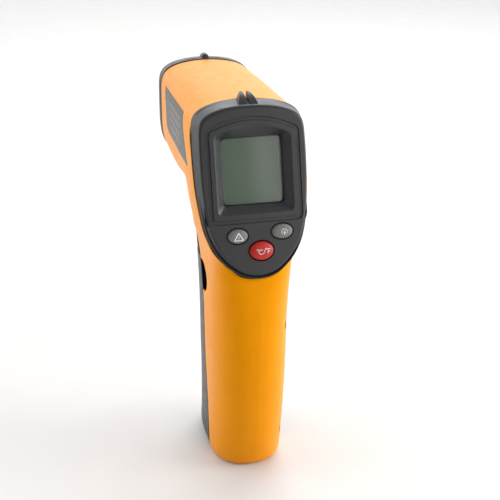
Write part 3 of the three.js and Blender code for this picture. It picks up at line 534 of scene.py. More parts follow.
# By angle about the pivot: half width, outer, middle and inner distance, corner powers, crown.
turn = smooth_rows([
    [0, 20.7, 59.79, 41, 14.2, 6.5, 3.2, 3.7],
    [5, 20.82, 59.95, 41.2, 14.05, 6.36, 3.05, 3.74],
    [10, 20.95, 60.58, 41.6, 13.9, 6.2, 2.9, 3.8],
    [15, 21.09, 61.69, 42.4, 13.74, 6.01, 2.75, 3.92],
    [20, 21.25, 63.34, 43.6, 13.6, 5.8, 2.6, 4.1],
    [27, 21.55, 66.68, 46.3, 13.48, 5.46, 2.41, 4.49],
    [33.7, 21.8, 71.28, 49.3, 13.4, 5.2, 2.25, 4.9],
    [40, 21.92, 77.25, 52.5, 13.36, 5.12, 2.15, 5.46],
    [46, 21.95, 84.99, 55, 13.3, 5.2, 2.1, 5.6],
    [60, 21.75, 84, 57, 12.9, 6, 2.1, 3],
    [70, 20.7, 78, 57, 12.5, 5, 2.2, 2],
    [76, 19.65, 76, 55, 12.2, 5, 2.4, 1],
    [81, 17.95, 73, 52, 12, 4.5, 2.7, 0.5],
    [84.5, 16.75, 67, 49, 11.8, 4, 3.2, 0],
    [87, 16.2, 64.4, 46, 11.7, 4, 3.7, 0],
    [90, 15.9, 63.5, 44.5, 11.7, 3.8, 4, 0],
])
# By height: half width, y of the back, widest line and front, corner powers, ridge of the back.
grip = smooth_rows([
    [0, 13.3, -12.6, 4, 26.4, 2.6, 4, 0.6],
    [0.9, 14.3, -13.6, 4, 28.0, 2.6, 4, 0.6],
    [2.6, 14.85, -14.3, 4, 29.1, 2.6, 4, 0.6],
    [5, 15.0, -14.8, 4, 29.1, 2.6, 4, 0.6],
    [11, 15.1, -15.9, 4, 27.6, 2.6, 4, 0.6],
    [19, 15.25, -16.9, 4, 26.0, 2.6, 4, 0.6],
    [34, 15.45, -18.1, 4, 25.5, 2.6, 4, 0.6],
    [46, 15.6, -18.3, 4, 26.6, 2.6, 4, 0.6],
    [57, 15.6, -18.0, 4, 27.8, 2.6, 4, 0.6],
    [68, 15.6, -17.4, 4, 30.0, 2.7, 4, 0.6],
    [78, 15.65, -16.7, 3.8, 33.0, 3.0, 4, 0.4],
    [87.6, 15.8, -15.8, 3.5, 35.8, 3.6, 4, 0.1],
    [90, 15.9, -15.5, 3.5, 36.3, 3.8, 4, 0],
])


def barrel_section(y):
    _, half, under, power = barrel(y)
    top = NOSE_TOP if y > NOSE_Y else BARREL_TOP - (NOSE_Y - y) * BARREL_SLOPE
    return (y, PIVOT_Z, 0, half, top - PIVOT_Z, BARREL_MID - PIVOT_Z, under - PIVOT_Z, 6.5, power, 3.7, 0)


def turn_section(angle):
    _, half, outer, middle, inner, out_power, in_power, crown = turn(angle)
    return (PIVOT_Y, PIVOT_Z, angle, half, outer, middle, inner, out_power, in_power, crown, 0)


def grip_section(z):
    _, half, back, middle, front, out_power, in_power, ridge = grip(z)
    outer, middle, inner = PIVOT_Y - back, PIVOT_Y - middle, PIVOT_Y - front
    return (PIVOT_Y, z, 90, half, outer, middle, inner, out_power, in_power, 0, ridge)


def ring(section, angles, inset=0.0, shrink=1.0):
    """Points of one cross-section at these directions from its widest line."""
    y, z, lean, half, outer, middle, inner, out_power, in_power, crown, ridge = section
    back = np.sin(angles) >= 0
    power = np.where(back, out_power, in_power)
    c, s = np.abs(np.cos(angles)), np.abs(np.sin(angles))
    size = (c ** power + s ** power) ** (-1 / power)
    across, along = np.sign(np.cos(angles)) * c * size * shrink, s * size * shrink
    drop = crown * across ** 2 - ridge * (1 - np.abs(across))
    out = middle + (outer - inset - middle - drop) * along
    r = np.where(back, out, middle - (middle - inner - inset) * along)
    lean = math.radians(lean)
    return np.c_[(half - inset) * across, y - r * math.sin(lean), z + r * math.cos(lean)]


BARREL_STOPS = [NOSE_Y - 0.02, *np.arange(72.5, 48.5, -1.2)]
TURN_STOPS = list(np.arange(0, 90, 1.25))
GRIP_STOPS = [*np.arange(90, 12, -1.3), *np.arange(12, 3, -0.6), 2.6, 2.0, 1.5, 1.0, 0.6, 0.3, 0.1, 0.0]


def skin_sections():
    sweeps = (barrel_section, BARREL_STOPS), (turn_section, TURN_STOPS), (grip_section, GRIP_STOPS)
    return [section(stop) for section, stops in sweeps for stop in stops]


def floor_rings(angles, inset=0.0):
    return [ring(grip_section(0), angles, inset, s) for s in (0.93, 0.8, 0.6, 0.35, 0.1)]


# ---- Shells

FORWARD = [*EDGE, *TRIGGER_EDGE, (70, 101.8), (70, -1)]
SEAM_HALF = 0.01  # the two shells close up tightly


def beyond_seam(p):
    """Distance in front of the display bezel's seam plane."""
    return (p[:, 1] - SEAM_Y) * math.cos(SEAM_LEAN) - (p[:, 2] - SEAM_Z) * math.sin(SEAM_LEAN)


def shell_sheet(screws):
    angles = np.radians(np.linspace(90, -90, 150))
    table = [ring(section, angles) for section in skin_sections()]
    bm = grid(table + floor_rings(angles))
    face_out(bm, (0, 20, 100))
    edges = [
        (lambda p: p[:, 0] - SEAM_HALF, 0.025),
        (beyond_seam, 0.2),
        (lambda p: outside(FORWARD, p[:, 1], p[:, 2]), 0.4),
        (lambda p: ellipse_distance(p[:, 1], p[:, 2], NOTCH[:2], NOTCH[2:]), 0.35),
        (lambda p: NOSE_Y - p[:, 1], 0.3),
    ]
    if screws:
        for y, z in SCREWS:
            edges.append((lambda p, y=y, z=z: np.where(
                p[:, 0] > 8, np.hypot(p[:, 1] - y, p[:, 2] - z) - 2.7, 9), 0.3))
    trim(bm, edges)
    return bm


def shells():
    right = shell_sheet(True)
    face_out(right, (0, 20, 100))
    piece(right, "shell_right_skin", "body", "yellow_plastic", ["right_shell"], WALL)
    left = mirrored_sheet(shell_sheet(False))
    piece(left, "shell_left_skin", "body", "yellow_plastic", ["left_shell"], WALL)


def mirrored_sheet(bm):
    bmesh.ops.scale(bm, vec=(-1, 1, 1), verts=bm.verts)
    bmesh.ops.reverse_faces(bm, faces=bm.faces[:])
    bm.normal_update()
    return bm


def shell_insides():
    """Foot plates, hinge ears, screw bosses and the switch shelf, seen when the door is open."""
    for side, name in ((-1, "left"), (1, "right")):
        parts = [
            rib(side, SEAM_HALF, 12.0, -2, 19.2, 0.15, 2.4),
            rib(side, SEAM_HALF, 13.8, 9.5, 11.3, 86.4, 97),
            rib(side, SEAM_HALF, 9.4, 9.5, 16.6, 86.4, 88.2),
        ]
        inner = 8.5 if side > 0 else -10.3
        profile = arc_profile([(0, 0), (2.2, 0), (2.2, 1.8), (0, 1.8)], 0.2)
        ear = lathe(profile, "x", (inner, *HINGE[1:]), 40)
        parts += [ear, block(inner, inner + 1.8, 13, 23.4, 2.2, 6.6)]
        for y, z in SCREWS[:2]:
            boss = [(1.3, 0), (1.3, 9), (2.9, 9), (2.9, 0)] if side < 0 else [(2.75, 2), (2.75, 0), (1.3, 0)]
            start = -9.3 if side < 0 else 9.9
            parts.append(lathe(arc_profile(boss, 0.15), "x", (start, y, z), 40))
        if side > 0:
            for (y, z), length in zip(SCREWS[2:], (5, 7)):
                parts.append(lathe([(2.75, length), (2.75, 0), (1.3, 0)], "x", (9.9, y, z), 40))
        piece(joined(*parts), f"shell_{name}_ribs", "body", "yellow_plastic", bevel=0.25)


# ---- Battery door and trigger

def door():
    angles = np.radians(np.linspace(-215, 35, 260))
    stops = [DOOR_TOP + 0.02, *[z for z in GRIP_STOPS if z < DOOR_TOP]]
    table = [ring(grip_section(z), angles) for z in stops]
    bm = grid(table + floor_rings(angles))
    face_out(bm, (0, 8, 40))
    shifted = [(y + GAP, z) for y, z in EDGE]
    shifted[0] = (shifted[0][0] + 0.5, 0.9)
    shifted[1] = (shifted[1][0] + 0.35, 5)
    outline = [*shifted[:-1], (EDGE[-1][0] + GAP, DOOR_TOP), (60, DOOR_TOP), (60, -1), (19, -1), (6, 0.9)]

    def off_foot(p):
        aside = np.maximum(np.abs(p[:, 0]) - 12.9, p[:, 1] - 22.5)
        return np.maximum(aside, p[:, 2] - 0.5)

    trim(bm, [
        (lambda p: -outside(outline, p[:, 1], p[:, 2]), 0.4),
        (off_foot, 0.0),
    ])
    piece(bm, "battery_door_skin", "door", "dark_plastic", ["battery_door"], WALL)
    inner = door_insides()
    piece(inner, "battery_door_ribs", "door", "dark_plastic", bevel=0.2)


def door_insides():
    """Hinge knuckle, top shelf, catch wings and ribs."""
    knuckle = arc_profile([(1.1, -8.2), (2.2, -8.2), (2.2, 8.2), (1.1, 8.2)], 0.2)
    parts = [
        lathe(knuckle, "x", HINGE, 40),
        block(-8.2, 8.2, 25.2, 27.6, 3.8, 5.9),
        block(-12.6, 12.6, 19.5, 32, DOOR_TOP - 1.8, DOOR_TOP - 0.1),
    ]
    for side in (-1, 1):
        parts += [rib(side, 9.9, 11.1, 2.4, 20, 70.6, 82), rib(side, 9.9, 14.1, 17.4, 19.2, 72.8, 82.2)]
        parts += [rib(side, 8, 9.2, 20.5, 24, z, z + 7) for z in (24, 44, 62)]
    return joined(*parts)


# Side view of the trigger: its edge beside the shells, and its hollowed front from the foot to the tip.
TRIGGER_FOOT, TRIGGER_SHOULDER = 84.4, 100.2
TRIGGER_REAR = [
    (18.4, TRIGGER_FOOT), (20.9, 88), (24.3, 91), (28.9, 93.6), (34, 96.6), (39.4, 99.3), (44.1, 101.3),
]
TRIGGER_FRONT = [
    (36.5, TRIGGER_FOOT), (36.9, 88), (37.9, 91.2), (39.6, 94.2), (41.7, 96.9), (44.0, 99.4), (45.2, 100.7),
]


def skin_half_width(y, z):
    """How far out the swept skin stands at a place in the side view; 0 beyond it."""
    if z < 90:
        _, _, _, half, _, middle, inner, _, power, _, _ = grip_section(z)
        r = PIVOT_Y - y
    else:
        angle = math.degrees(math.atan2(PIVOT_Y - y, z - PIVOT_Z))
        _, _, _, half, _, middle, inner, _, power, _, _ = turn_section(min(max(angle, 0), 90))
        r = math.hypot(PIVOT_Y - y, z - PIVOT_Z)
    inner += 0.25
    along = min(max((middle - r) / (middle - inner), 0), 1)
    return (half - 0.25) * (1 - along ** power) ** (1 / power)


def trigger():
    """Finger lever: cheeks level with the grip, running out into a narrower round-edged front."""
    rear = smooth_rows([[z, y] for y, z in TRIGGER_REAR])
    front = smooth_rows([[z, y] for y, z in TRIGGER_FRONT])
    foot_round, top_round = 0.7, 1.06
    half, reach, power, blend = 9.5, 2.6, 2.6, 6
    heights = [*(TRIGGER_FOOT + foot_round * (1 - np.cos(np.linspace(0, math.pi / 2, 9))))]
    heights += [*np.linspace(85.3, TRIGGER_SHOULDER, 48)]
    heights += [*(TRIGGER_SHOULDER + 1.05 * np.sin(np.linspace(0.1, 1.57, 10)))]
    shares = np.sin(np.linspace(0, math.pi / 2, 60))
    rows = []
    for z in heights:
        over = max(z - TRIGGER_SHOULDER, 0)
        y0 = rear(min(z, TRIGGER_REAR[-1][1]))[1]
        y1 = max(front(min(z, TRIGGER_FRONT[-1][1]))[1] - 2.2 * over ** 2, y0 + 0.05)
        low_edge = math.sqrt(max(1 - (max(TRIGGER_FOOT + foot_round - z, 0) / foot_round) ** 2, 0.0))
        top_edge = math.sqrt(max(1 - (over / top_round) ** 2, 0.0))
        rounding = 0.8 * (1 - low_edge) + 1.2 * (1 - top_edge)
        row = []
        for share in shares:
            y = y0 + (y1 - y0) * share
            near = max(1 - (y1 - y) / reach, 0)
            lever = half * (1 - near ** power) ** (1 / power)
            cheek = skin_half_width(y, z)
            x = min((lever ** blend + cheek ** blend) ** (1 / blend), 15.6) - rounding
            row.append((max(x, 0.0), y, z))
        rows.append(row)
    outer = np.array(rows)
    wall = outer[:, :1] - (1.6, 0, 0)
    sheet = np.concatenate([wall, outer], axis=1)
    other = sheet[:, ::-1] * (-1, 1, 1)
    bm = grid(np.concatenate([sheet, other[:, 1:]], axis=1))
    face_out(bm, (0, 30, 92))
    piece(bm, "trigger_lever", "trigger", "dark_plastic", ["trigger"], 1.4)
    trigger_insides()


def trigger_insides():
    """The narrower part that slides in between the shells, the lever's neck and the pin."""
    upper = [(24.3, 91), (28.9, 93.6), (34, 96.6), (36.2, 97.2), (34, 84.5)]
    sides = [(15.3, 84.5), (17.9, 88.2), (21.6, 90.2), *upper]
    middle = [(24.2, 84.5), (24.2, 90.9), *upper[1:]]
    fin = [(24.2, 88), (24.2, 94.2), (28.5, 97.4), (33.5, 100.6), (36.5, 101.8), (37, 96)]
    neck = [(33.5, 95.5), (35.6, 101), (36.6, 106), (41.0, 106), (42.6, 102.6), (44.0, 100.4), (41, 97)]
    inside = joined(
        side_block(sides, -12.6, -11.0), side_block(sides, 11.0, 12.6),
        side_block(middle, -11.4, 11.4), side_block(fin, -8.9, 8.9), side_block(neck, -8.9, 8.9),
    )
    piece(inside, "trigger_tongue", "trigger", "dark_plastic", bevel=0.4)
    half, radius = 10.4, 0.98
    pin = arc_profile([(0, -half), (radius, -half), (radius, half), (0, half)], 0.2)
    piece(lathe(pin, "x", TRIGGER_PIN, 40), "trigger_pin_turned", "body", "steel", ["trigger_pin"])


def side_block(outline, x0, x1):
    """A side outline (y, z) stretched across from x0 to x1."""
    bm = bmesh.new()
    bm.verts.layers.float_vector.new("place")
    sides = [[bm.verts.new((x, y, z)) for y, z in outline] for x in (x0, x1)]
    bm.faces.new(sides[0])
    bm.faces.new(sides[1][::-1])
    for i, j in zip(range(len(outline)), [*range(1, len(outline)), 0]):
        bm.faces.new((sides[0][i], sides[0][j], sides[1][j], sides[1][i]))
    bmesh.ops.recalc_face_normals(bm, faces=bm.faces[:])
    return bm


# ---- Display bezel

BEZEL_EDGE = [
    (0, 26.7), (7.2, 26.4), (12.8, 25.4), (17.3, 23.7), (20.0, 21.5), (21.2, 18.6), (21.6, 13), (21.7, 5),
    (21.55, -4), (20.9, -12.5), (19.7, -20), (17.9, -26), (15.2, -31), (11.6, -35.2), (6.4, -38.9),
    (0, -40.2),
]
BEZEL_HALF, BEZEL_CENTRE, BEZEL_HEIGHT = 21.7, -6.7, 33.5
RIM_COUNT = 384


def spaced(points, stops):
    """Points along a broken line at these distances, which stops() gives for its length."""
    walked = np.concatenate([[0], np.cumsum(np.linalg.norm(np.diff(points, axis=0), axis=1))])
    even = stops(walked[-1])
    return np.stack([np.interp(even, walked, column) for column in points.T], axis=1)


def closed_curve(points, count):
    """Evenly spaced points on a smooth closed curve through these."""
    points = np.array(points, float)
    chords = np.sqrt(np.linalg.norm(np.roll(points, -1, axis=0) - points, axis=1))
    wrap = 3
    t = np.concatenate([[0], np.cumsum(chords)])
    rows = [[t[0] - sum(chords[-k:]) if k else 0, *points[-k]] for k in range(wrap, 0, -1)]
    rows += [[a, *p] for a, p in zip(t[:-1], points)]
    rows += [[t[-1] + sum(chords[:k]), *points[k]] for k in range(wrap)]
    curve = smooth_rows(rows)
    dense = np.array([curve(a)[1:] for a in np.linspace(0, t[-1], 2000)])
    return spaced(dense, lambda length: np.linspace(0, length, count, endpoint=False))


BEZEL_RIM = closed_curve(BEZEL_EDGE + [(-u, v) for u, v in BEZEL_EDGE[-2:0:-1]], RIM_COUNT)


def seam_height(v):
    lean = SEAM_LEAN - FACE_LEAN
    dy, dz = SEAM_Y - FACE_Y, SEAM_Z - FACE_Z
    seam_v = dy * math.sin(FACE_LEAN) + dz * math.cos(FACE_LEAN)
    seam_n = dz * math.sin(FACE_LEAN) - dy * math.cos(FACE_LEAN)
    return seam_n + (seam_v - v) * math.tan(lean)


def bezel_ring(inset, extra_top, height=None):
    u = BEZEL_RIM[:, 0] * (1 - inset / BEZEL_HALF)
    up = (BEZEL_RIM[:, 1] - BEZEL_CENTRE) * (1 - inset / BEZEL_HEIGHT)
    v = BEZEL_CENTRE + up - extra_top * step(0, BEZEL_HEIGHT, up)
    n = seam_height(v) + 0.08 if height is None else np.full(len(u), float(height))
    return np.c_[u, v, n]


def face_grid(table, closed=False):
    """Mesh of quads through a table of points in the display's frame."""
    table = np.asarray(table, float)
    return grid(on_face(table.reshape(-1, 3)).reshape(table.shape), closed)


def on_face(p):
    """From the display's frame (across, up, out) to the handle's."""
    u, v, n = np.asarray(p, float).reshape(-1, 3).T
    y = FACE_Y + v * math.sin(FACE_LEAN) - n * math.cos(FACE_LEAN)
    z = FACE_Z + v * math.cos(FACE_LEAN) + n * math.sin(FACE_LEAN)
    return np.c_[u, y, z]


def bowed_outline(w, low, high, top):
    """Outline round the display: straight sides, a bowed top and round corners."""
    bend = 2 * top - high - 0.7

    def quad(a, b, c):
        s = np.linspace(0, 1, 9)[:, None]
        return (1 - s) ** 2 * np.array(a) + 2 * s * (1 - s) * np.array(b) + s * s * np.array(c)

    return np.concatenate([
        quad((w - 2, low), (w, low), (w, low + 2)),
        quad((w, high - 1.5), (w, high), (w - 2, high + 0.7)),
        quad((w - 2, high + 0.7), (0, bend), (-w + 2, high + 0.7))[1:-1],
        quad((-w + 2, high + 0.7), (-w, high), (-w, high - 1.5)),
        quad((-w, low + 2), (-w, low), (-w + 2, low)),
    ])


FUNNEL = bowed_outline(14.6, -15.8, 13.2, 17.0)
GROOVE = bowed_outline(17.0, -18.3, 15.0, 19.0)  # middle of the groove round the display
GROOVE_HALF, GROOVE_DEPTH = 0.7, 0.5


def from_window(p):
    """Distance from the display's window, positive outside."""
    half, height, _ = WINDOW
    radius = 0.9
    a, b = np.abs(p[:, 0]) - half + radius, np.abs(p[:, 1]) - height + radius
    return np.hypot(np.maximum(a, 0), np.maximum(b, 0)) + np.minimum(np.maximum(a, b), 0) - radius


def from_funnel(p):
    return outside(FUNNEL, p[:, 0], p[:, 1])


def face_height(p):
    """Height of the bezel's face over its plane."""
    rim, window = from_funnel(p), from_window(p)
    share = np.clip(window / np.maximum(window - np.minimum(rim, 0), 1e-6), 0, 1)
    bowl = -WINDOW[2] * (1 - share)
    soft = 0.25
    eased = -np.sqrt(bowl ** 2 + soft ** 2) + soft
    height = np.where((rim < 0) & (bowl < -0.02), eased, 0)
    aside = np.abs(outside(GROOVE, p[:, 0], p[:, 1]))
    return height - GROOVE_DEPTH * (1 - step(GROOVE_HALF - 0.08, GROOVE_HALF + 0.08, aside))


def bezel():
    brow = [
        (1.5, 1.4, -0.75), (1.56, 1.5, -0.55), (1.65, 1.62, -0.38), (1.77, 1.76, -0.22), (1.92, 1.92, -0.1),
        (2.08, 2.08, -0.03), (2.25, 2.3, 0),
    ]
    seam = bezel_ring(0.15, 0)
    low = bezel_ring(*brow[0])
    rings = [bezel_ring(0.3, 0), bezel_ring(0.2, 0) + [0, 0, 0.04]]
    for share in (0.01, *np.linspace(0.08, 0.92, 12)):
        rings.append(seam * (1 - share) + low * share)
    rings += [bezel_ring(*row) for row in brow]
    edge = rings[-1]
    centre = np.array([0, BEZEL_CENTRE, 0])
    shares = np.linspace(1, 0, 130)[1:-1]
    rings += [centre + (edge - centre) * s for s in shares]
    rings.append(np.repeat(centre[None, :], RIM_COUNT, axis=0))
    bm = grid(rings, closed=True)
    close_middle(bm, centre)

    def on_top(field):
        return lambda p: np.where(p[:, 2] > -0.05, field(p), 9)

    for level in (0.15, 0, -0.15, -0.3, -0.5, -0.9):
        score(bm, on_top(lambda p: from_funnel(p) - level))
    for level in (-0.78, -0.73, -0.67, -0.62, 0, 0.62, 0.67, 0.73, 0.78):
        score(bm, on_top(lambda p: outside(GROOVE, p[:, 0], p[:, 1]) - level))
    score(bm, on_top(from_window), drop=True)
    holes = []
    rounding = 0.35
    for u, v, a, b in BUTTONS.values():
        at, size = (u, v), (a + GAP, b + GAP)
        hole = on_top(lambda p, at=at, size=size: ellipse_distance(p[:, 0], p[:, 1], at, size))
        holes.append(hole)
        score(bm, hole, drop=True)
        for share in ARC:
            score(bm, lambda p: hole(p) - rounding * share)
    co = places(bm)
    top = co[:, 2] > -0.05
    rise = np.where(top, face_height(co), 0)
    for hole in holes:
        left = rounding - np.clip(hole(co), 0, rounding)
        rise -= np.where(top, rounding - np.sqrt(rounding ** 2 - left ** 2), 0)
    co[:, 2] += rise
    for v, p in zip(bm.verts, on_face(co)):
        v.co = p
    face_out(bm, (0, 12, 118))
    piece(bm, "rear_bezel_skin", "body", "dark_plastic", ["rear_bezel"], 1.9)
    seam_lip()


def seam_lip():
    """Lip inside the seam, so that nothing shows through between the bezel and the shells."""
    rows = [  # inset, height over the seam, how much lower it reaches at the bezel's lowest point
        (0.45, 0.5, 0), (0.5, 0.1, 0), (0.62, -0.15, 0.1), (0.8, -0.6, 1.1), (1.0, -1.2, 2.3),
        (1.2, -2.0, 4.2),
    ]
    share = step(0.75 * BEZEL_HEIGHT, BEZEL_HEIGHT, BEZEL_CENTRE - BEZEL_RIM[:, 1])
    rings = []
    for inset, rise, lower in rows:
        lip = bezel_ring(inset, 0.3) + [0, 0, rise]
        lip[:, 1] -= lower * share
        rings.append(lip)
    bm = face_grid(rings, closed=True)
    face_out(bm, (0, 12, 118))
    piece(bm, "bezel_seam_lip", "body", "dark_plastic", wall=0.7)


SIGHT_ACROSS = -0.5


def sight_fins():
    """Rear sight: two round-topped fins with a V between them."""
    ridge = smooth_rows([[-7.9, 28.9], [-7.0, 29.35], [-6.0, 29.1], [-3.4, 27.2], [-1.6, 24.4], [-0.9, 22]])
    parts = []
    for side in (-1, 1):
        across = np.linspace(0, 1, 34)
        depth = np.linspace(-7.7, -0.95, 44)
        u = 0.27 + 3.75 * across
        rise = np.where(u < 1.15, 1 - (abs(1.15 - u) / 0.89) ** 2.2, 1 - (abs(u - 1.15) / 2.88) ** 1.6)
        front = 22.0 + 7.3 * np.clip(rise, 0, 1) ** 0.7
        table = []
        for n in depth:
            top = ridge(n)[1]
            back = 1 - max(0, (-7.0 - n) / 0.8) ** 2 * 0.2
            gap = front - top
            v = np.minimum(front, top) - 0.5 * np.maximum(0.5 - np.abs(gap), 0) ** 2
            v = 22.0 + (v - 22.0) * back
            table.append(np.c_[SIGHT_ACROSS + side * u, v, np.full(len(u), n)])
        table = np.array(table)
        skirt_low, skirt_high = table[0].copy(), table[-1].copy()
        skirt_low[:, 1] = skirt_high[:, 1] = 21.5
        table = np.concatenate([[skirt_low], table, [skirt_high]])
        bm = face_grid(table)
        face_out(bm, tuple(on_face([(side * 2, 22, -4)])[0]))
        parts.append(bm)
    piece(joined(*parts), "rear_sight", "body", "dark_plastic", sharp=75)


# ---- Buttons and icons

# Share of the way out from a button's middle, and its height over the face there.
BUTTON_PROFILE = smooth_rows([
    [0, 1.42], [0.35, 1.39], [0.62, 1.28], [0.8, 1.1], [0.9, 0.88], [0.965, 0.55], [1.0, 0.1],
])


def button_top(name, u, v):
    bu, bv, a, b = BUTTONS[name]
    share = np.clip(np.hypot((u - bu) / a, (v - bv) / b), 0, 1)
    return np.array([BUTTON_PROFILE(s)[1] for s in share])


def buttons():
    c, s = circle(96)
    for name, (u, v, a, b) in BUTTONS.items():
        table = []
        for n in (-3.3, -2.0, -0.4):
            table.append(np.c_[u + a * c, v + b * s, np.full(len(c), n)])
        for share in (1.0, 0.985, 0.965, 0.935, 0.9, 0.85, 0.8, 0.72, 0.62, 0.5, 0.35, 0.2, 0.001):
            pu, pv = u + a * share * c, v + b * share * s
            table.append(np.c_[pu, pv, button_top(name, pu, pv)])
        bm = face_grid(table, closed=True)
        cap(bm)
        rubber = "red_rubber" if name == "units" else "grey_rubber"
        piece(bm, f"{name}_cap", f"{name}_key", rubber, [f"{name}_button"])


def stroke(name, points, width, lift=0.035):
    """Printed line on a button, following its dome."""
    points = np.array(points, float)
    line = spaced(points, lambda length: np.linspace(0, length, max(3, int(length / 0.12) + 2)))
    ahead = np.gradient(line, axis=0)
    ahead /= np.maximum(np.linalg.norm(ahead, axis=1), 1e-9)[:, None]
    aside = np.c_[-ahead[:, 1], ahead[:, 0]]
    bu, bv = BUTTONS[name][:2]
    rows = []
    for offset, raise_by in ((-1, 0.0), (-0.8, 1.0), (0, 1.05), (0.8, 1.0), (1, 0.0)):
        p = line + aside * offset * width / 2 + [bu, bv]
        height = button_top(name, p[:, 0], p[:, 1]) + lift * raise_by
        rows.append(np.c_[p[:, 0], p[:, 1], height])
    bm = face_grid(rows)
    face_out(bm, (bu, 10, 100))
    return bm


def arc_points(centre, radius, start, end, count=24):
    a = np.radians(np.linspace(start, end, count))
    return np.c_[centre[0] + radius * np.cos(a), centre[1] + radius * np.sin(a)]


def icons():
    """Plain marks: a warning triangle, a lamp and the two temperature units."""
    corners = [(-1.6, -1.45), (1.75, -1.4), (0.1, 1.35), (-1.65, -1.5)]
    marks = {
        "laser": [
            *((corners[i:i + 2], 0.34) for i in range(3)),
            ([(-0.05, -0.5), (0.2, -0.5)], 0.5),
            ([(0.08, -0.1), (0.08, 0.35)], 0.18),
        ],
        "backlight": [
            (arc_points((0.5, -0.25), 1.1, -50, 230), 0.2),
            (arc_points((0.5, -0.4), 0.25, 0, 360), 0.3),
            ([(0.5, -0.6), (0.5, -1.35)], 0.3),
        ],
        "units": [
            (arc_points((-1.75, 0.5), 0.27, 0, 360), 0.16),
            (arc_points((-0.55, -0.35), 0.82, 45, 315), 0.24),
            ([(0.3, -1.15), (1.2, 0.75)], 0.2),
            (arc_points((1.5, 0.75), 0.25, 0, 360), 0.16),
            ([(2.1, -1.1), (2.1, 0.72)], 0.24),
            ([(2.0, 0.68), (3.15, 0.68)], 0.24),
            ([(2.1, -0.15), (2.95, -0.15)], 0.22),
        ],
    }
    for name, lines in marks.items():
        parts = [stroke(name, points, width) for points, width in lines]
        piece(joined(*parts), f"{name}_icon", f"{name}_key", "ink", sharp=80)


# ---- Nose

def nose():
    angles = np.radians(np.linspace(0, 360, 320, endpoint=False))
    stops = [  # y, and how far inside the swept skin
        (73.95, 0.9), (73.62, 0.55), (73.6, 0.4), (73.63, 0.22), (73.72, 0.08), (73.9, 0.0), (75, 0),
        (76.5, 0), (78, 0), (78.8, 0.03), (79.5, 0.14), (80.1, 0.34), (80.7, 0.68), (81.2, 1.15),
        (81.6, 1.75), (81.9, 2.45), (82.06, 3.2), (82.1, 3.9), (82.02, 4.35), (81.8, 4.6),
        (81.4, 4.72), (79.6, 4.95), (79.15, 5.05), (78.95, 5.3), (78.9, 5.7),
    ]
    sections = {y: barrel_section(max(y, 73.6)) for y, _ in stops}
    table = [ring(sections[y], angles, inset) * [1, 0, 1] + [0, y, 0] for y, inset in stops]
    edge = table[-1]
    centre = np.array([0, 78.9, 127.5])
    table += [centre + (edge - centre) * s for s in np.linspace(1, 0, 60)[1:-1]]
    table.append(np.repeat(centre[None, :], len(edge), axis=0))
    bm = grid(table, closed=True)
    close_middle(bm, centre)
    face_out(bm, (0, 70, 128))

    def flat(p):
        return p[:, 1] > 78.85

    def eye(p):
        return np.where(flat(p), np.hypot(p[:, 0], p[:, 2] - APERTURE_Z) - 9.8, 9)

    def laser(p):
        return np.where(flat(p), np.hypot(p[:, 0], p[:, 2] - LASER_Z) - 2.3, 9)

    for level in (1.0, 1.2, 1.6, 1.8):
        score(bm, lambda p: eye(p) - level)
    for level in (0.8, 1.0):
        score(bm, lambda p: laser(p) - level)
    trim(bm, [(eye, 0.35), (laser, 0.3)])
    co = places(bm)
    rise = 0.35 * (step(1.0, 1.2, eye(co)) - step(1.6, 1.8, eye(co))) * flat(co)
    rise += 0.3 * step(1.0, 0.8, laser(co)) * (laser(co) > 0.3) * flat(co)
    for v, r in zip(bm.verts, rise):
        v.co.y += r
    piece(bm, "nose_bezel_skin", "body", "dark_plastic", ["nose_bezel"], 1.6)
    front_sight()


def front_sight():
    across = np.linspace(-1, 1, 41)
    along = np.linspace(-1, 1, 41)
    a, b = np.meshgrid(across, along)
    rise = np.clip(1 - np.abs(a) ** 2.3, 0, 1) ** 0.55 * np.clip(1 - np.abs(b) ** 5, 0, 1) ** 0.4
    z = 149.9 + 2.25 * rise
    table = np.stack([1.8 * a, 76.9 + 2.4 * b, z], axis=-1)
    bm = grid(table)
    face_out(bm, (0, 76.9, 140))
    piece(bm, "front_sight", "body", "dark_plastic", sharp=80)


def optics():
    funnel = [(9.45, 53), (9.45, 78.4), (9.2, 78.62), (8.75, 78.55)]
    for k in range(14):
        y = 78 - k * 0.8
        r = 6.2 + 2.4 * (y - 67) / 11.5
        funnel += [(r, y), (r - 0.16, y - 0.12), (r - 0.16, y - 0.4), (r - 0.1, y - 0.75)]
    funnel += [(6.1, 66.8), (5.4, 66.3), (5.4, 62), (7.6, 61.2), (7.6, 53), (9.45, 53)]
    lens = [(0, 62.6), (1.4, 62.65), (2.8, 62.85), (4.2, 63.15), (5.1, 63.4), (5.15, 64.5), (5.0, 64.65)]
    for r in (4.6, 3.9, 3.1, 2.2, 1.2, 0.4, 0):
        lens.append((r, 64.65 + 0.85 * math.cos(math.radians(90 * r / 5.0))))
    eye = [(0, 74.9), (1.5, 74.9), (1.7, 75.1), (1.7, 75.9), (1.5, 76.15), (1.0, 76.4)]
    eye += [(0.5, 76.5), (0, 76.52)]
    barrel_rows = [(0, 56.5), (2.2, 56.5), (2.4, 56.7), (2.4, 60), (2.8, 60), (3, 60.2)]
    barrel_rows += [(3 - 0.12 * (k % 2), 61 + 0.35 * k) for k in range(14)]
    barrel_rows += [(3, 66.5), (3, 74.2), (2.7, 74.5), (1.3, 74.5), (1.1, 74.2), (0, 74.2)]
    for name, profile, z, sides, material, sharp in (
        ("lens_funnel", funnel, APERTURE_Z, 96, "black_plastic", 60),
        ("infrared_lens", lens, APERTURE_Z, 72, "infrared_lens", 50),
        ("laser_lens", eye, LASER_Z, 48, "clear_window", 50),
        ("laser_module", barrel_rows, LASER_Z, 64, "brass", 30),
    ):
        bm = lathe(profile, "y", (0, 0, z), sides)
        piece(bm, f"{name}_fine", "body", material, [name], sharp=sharp)


# ---- Label plates, cells and display

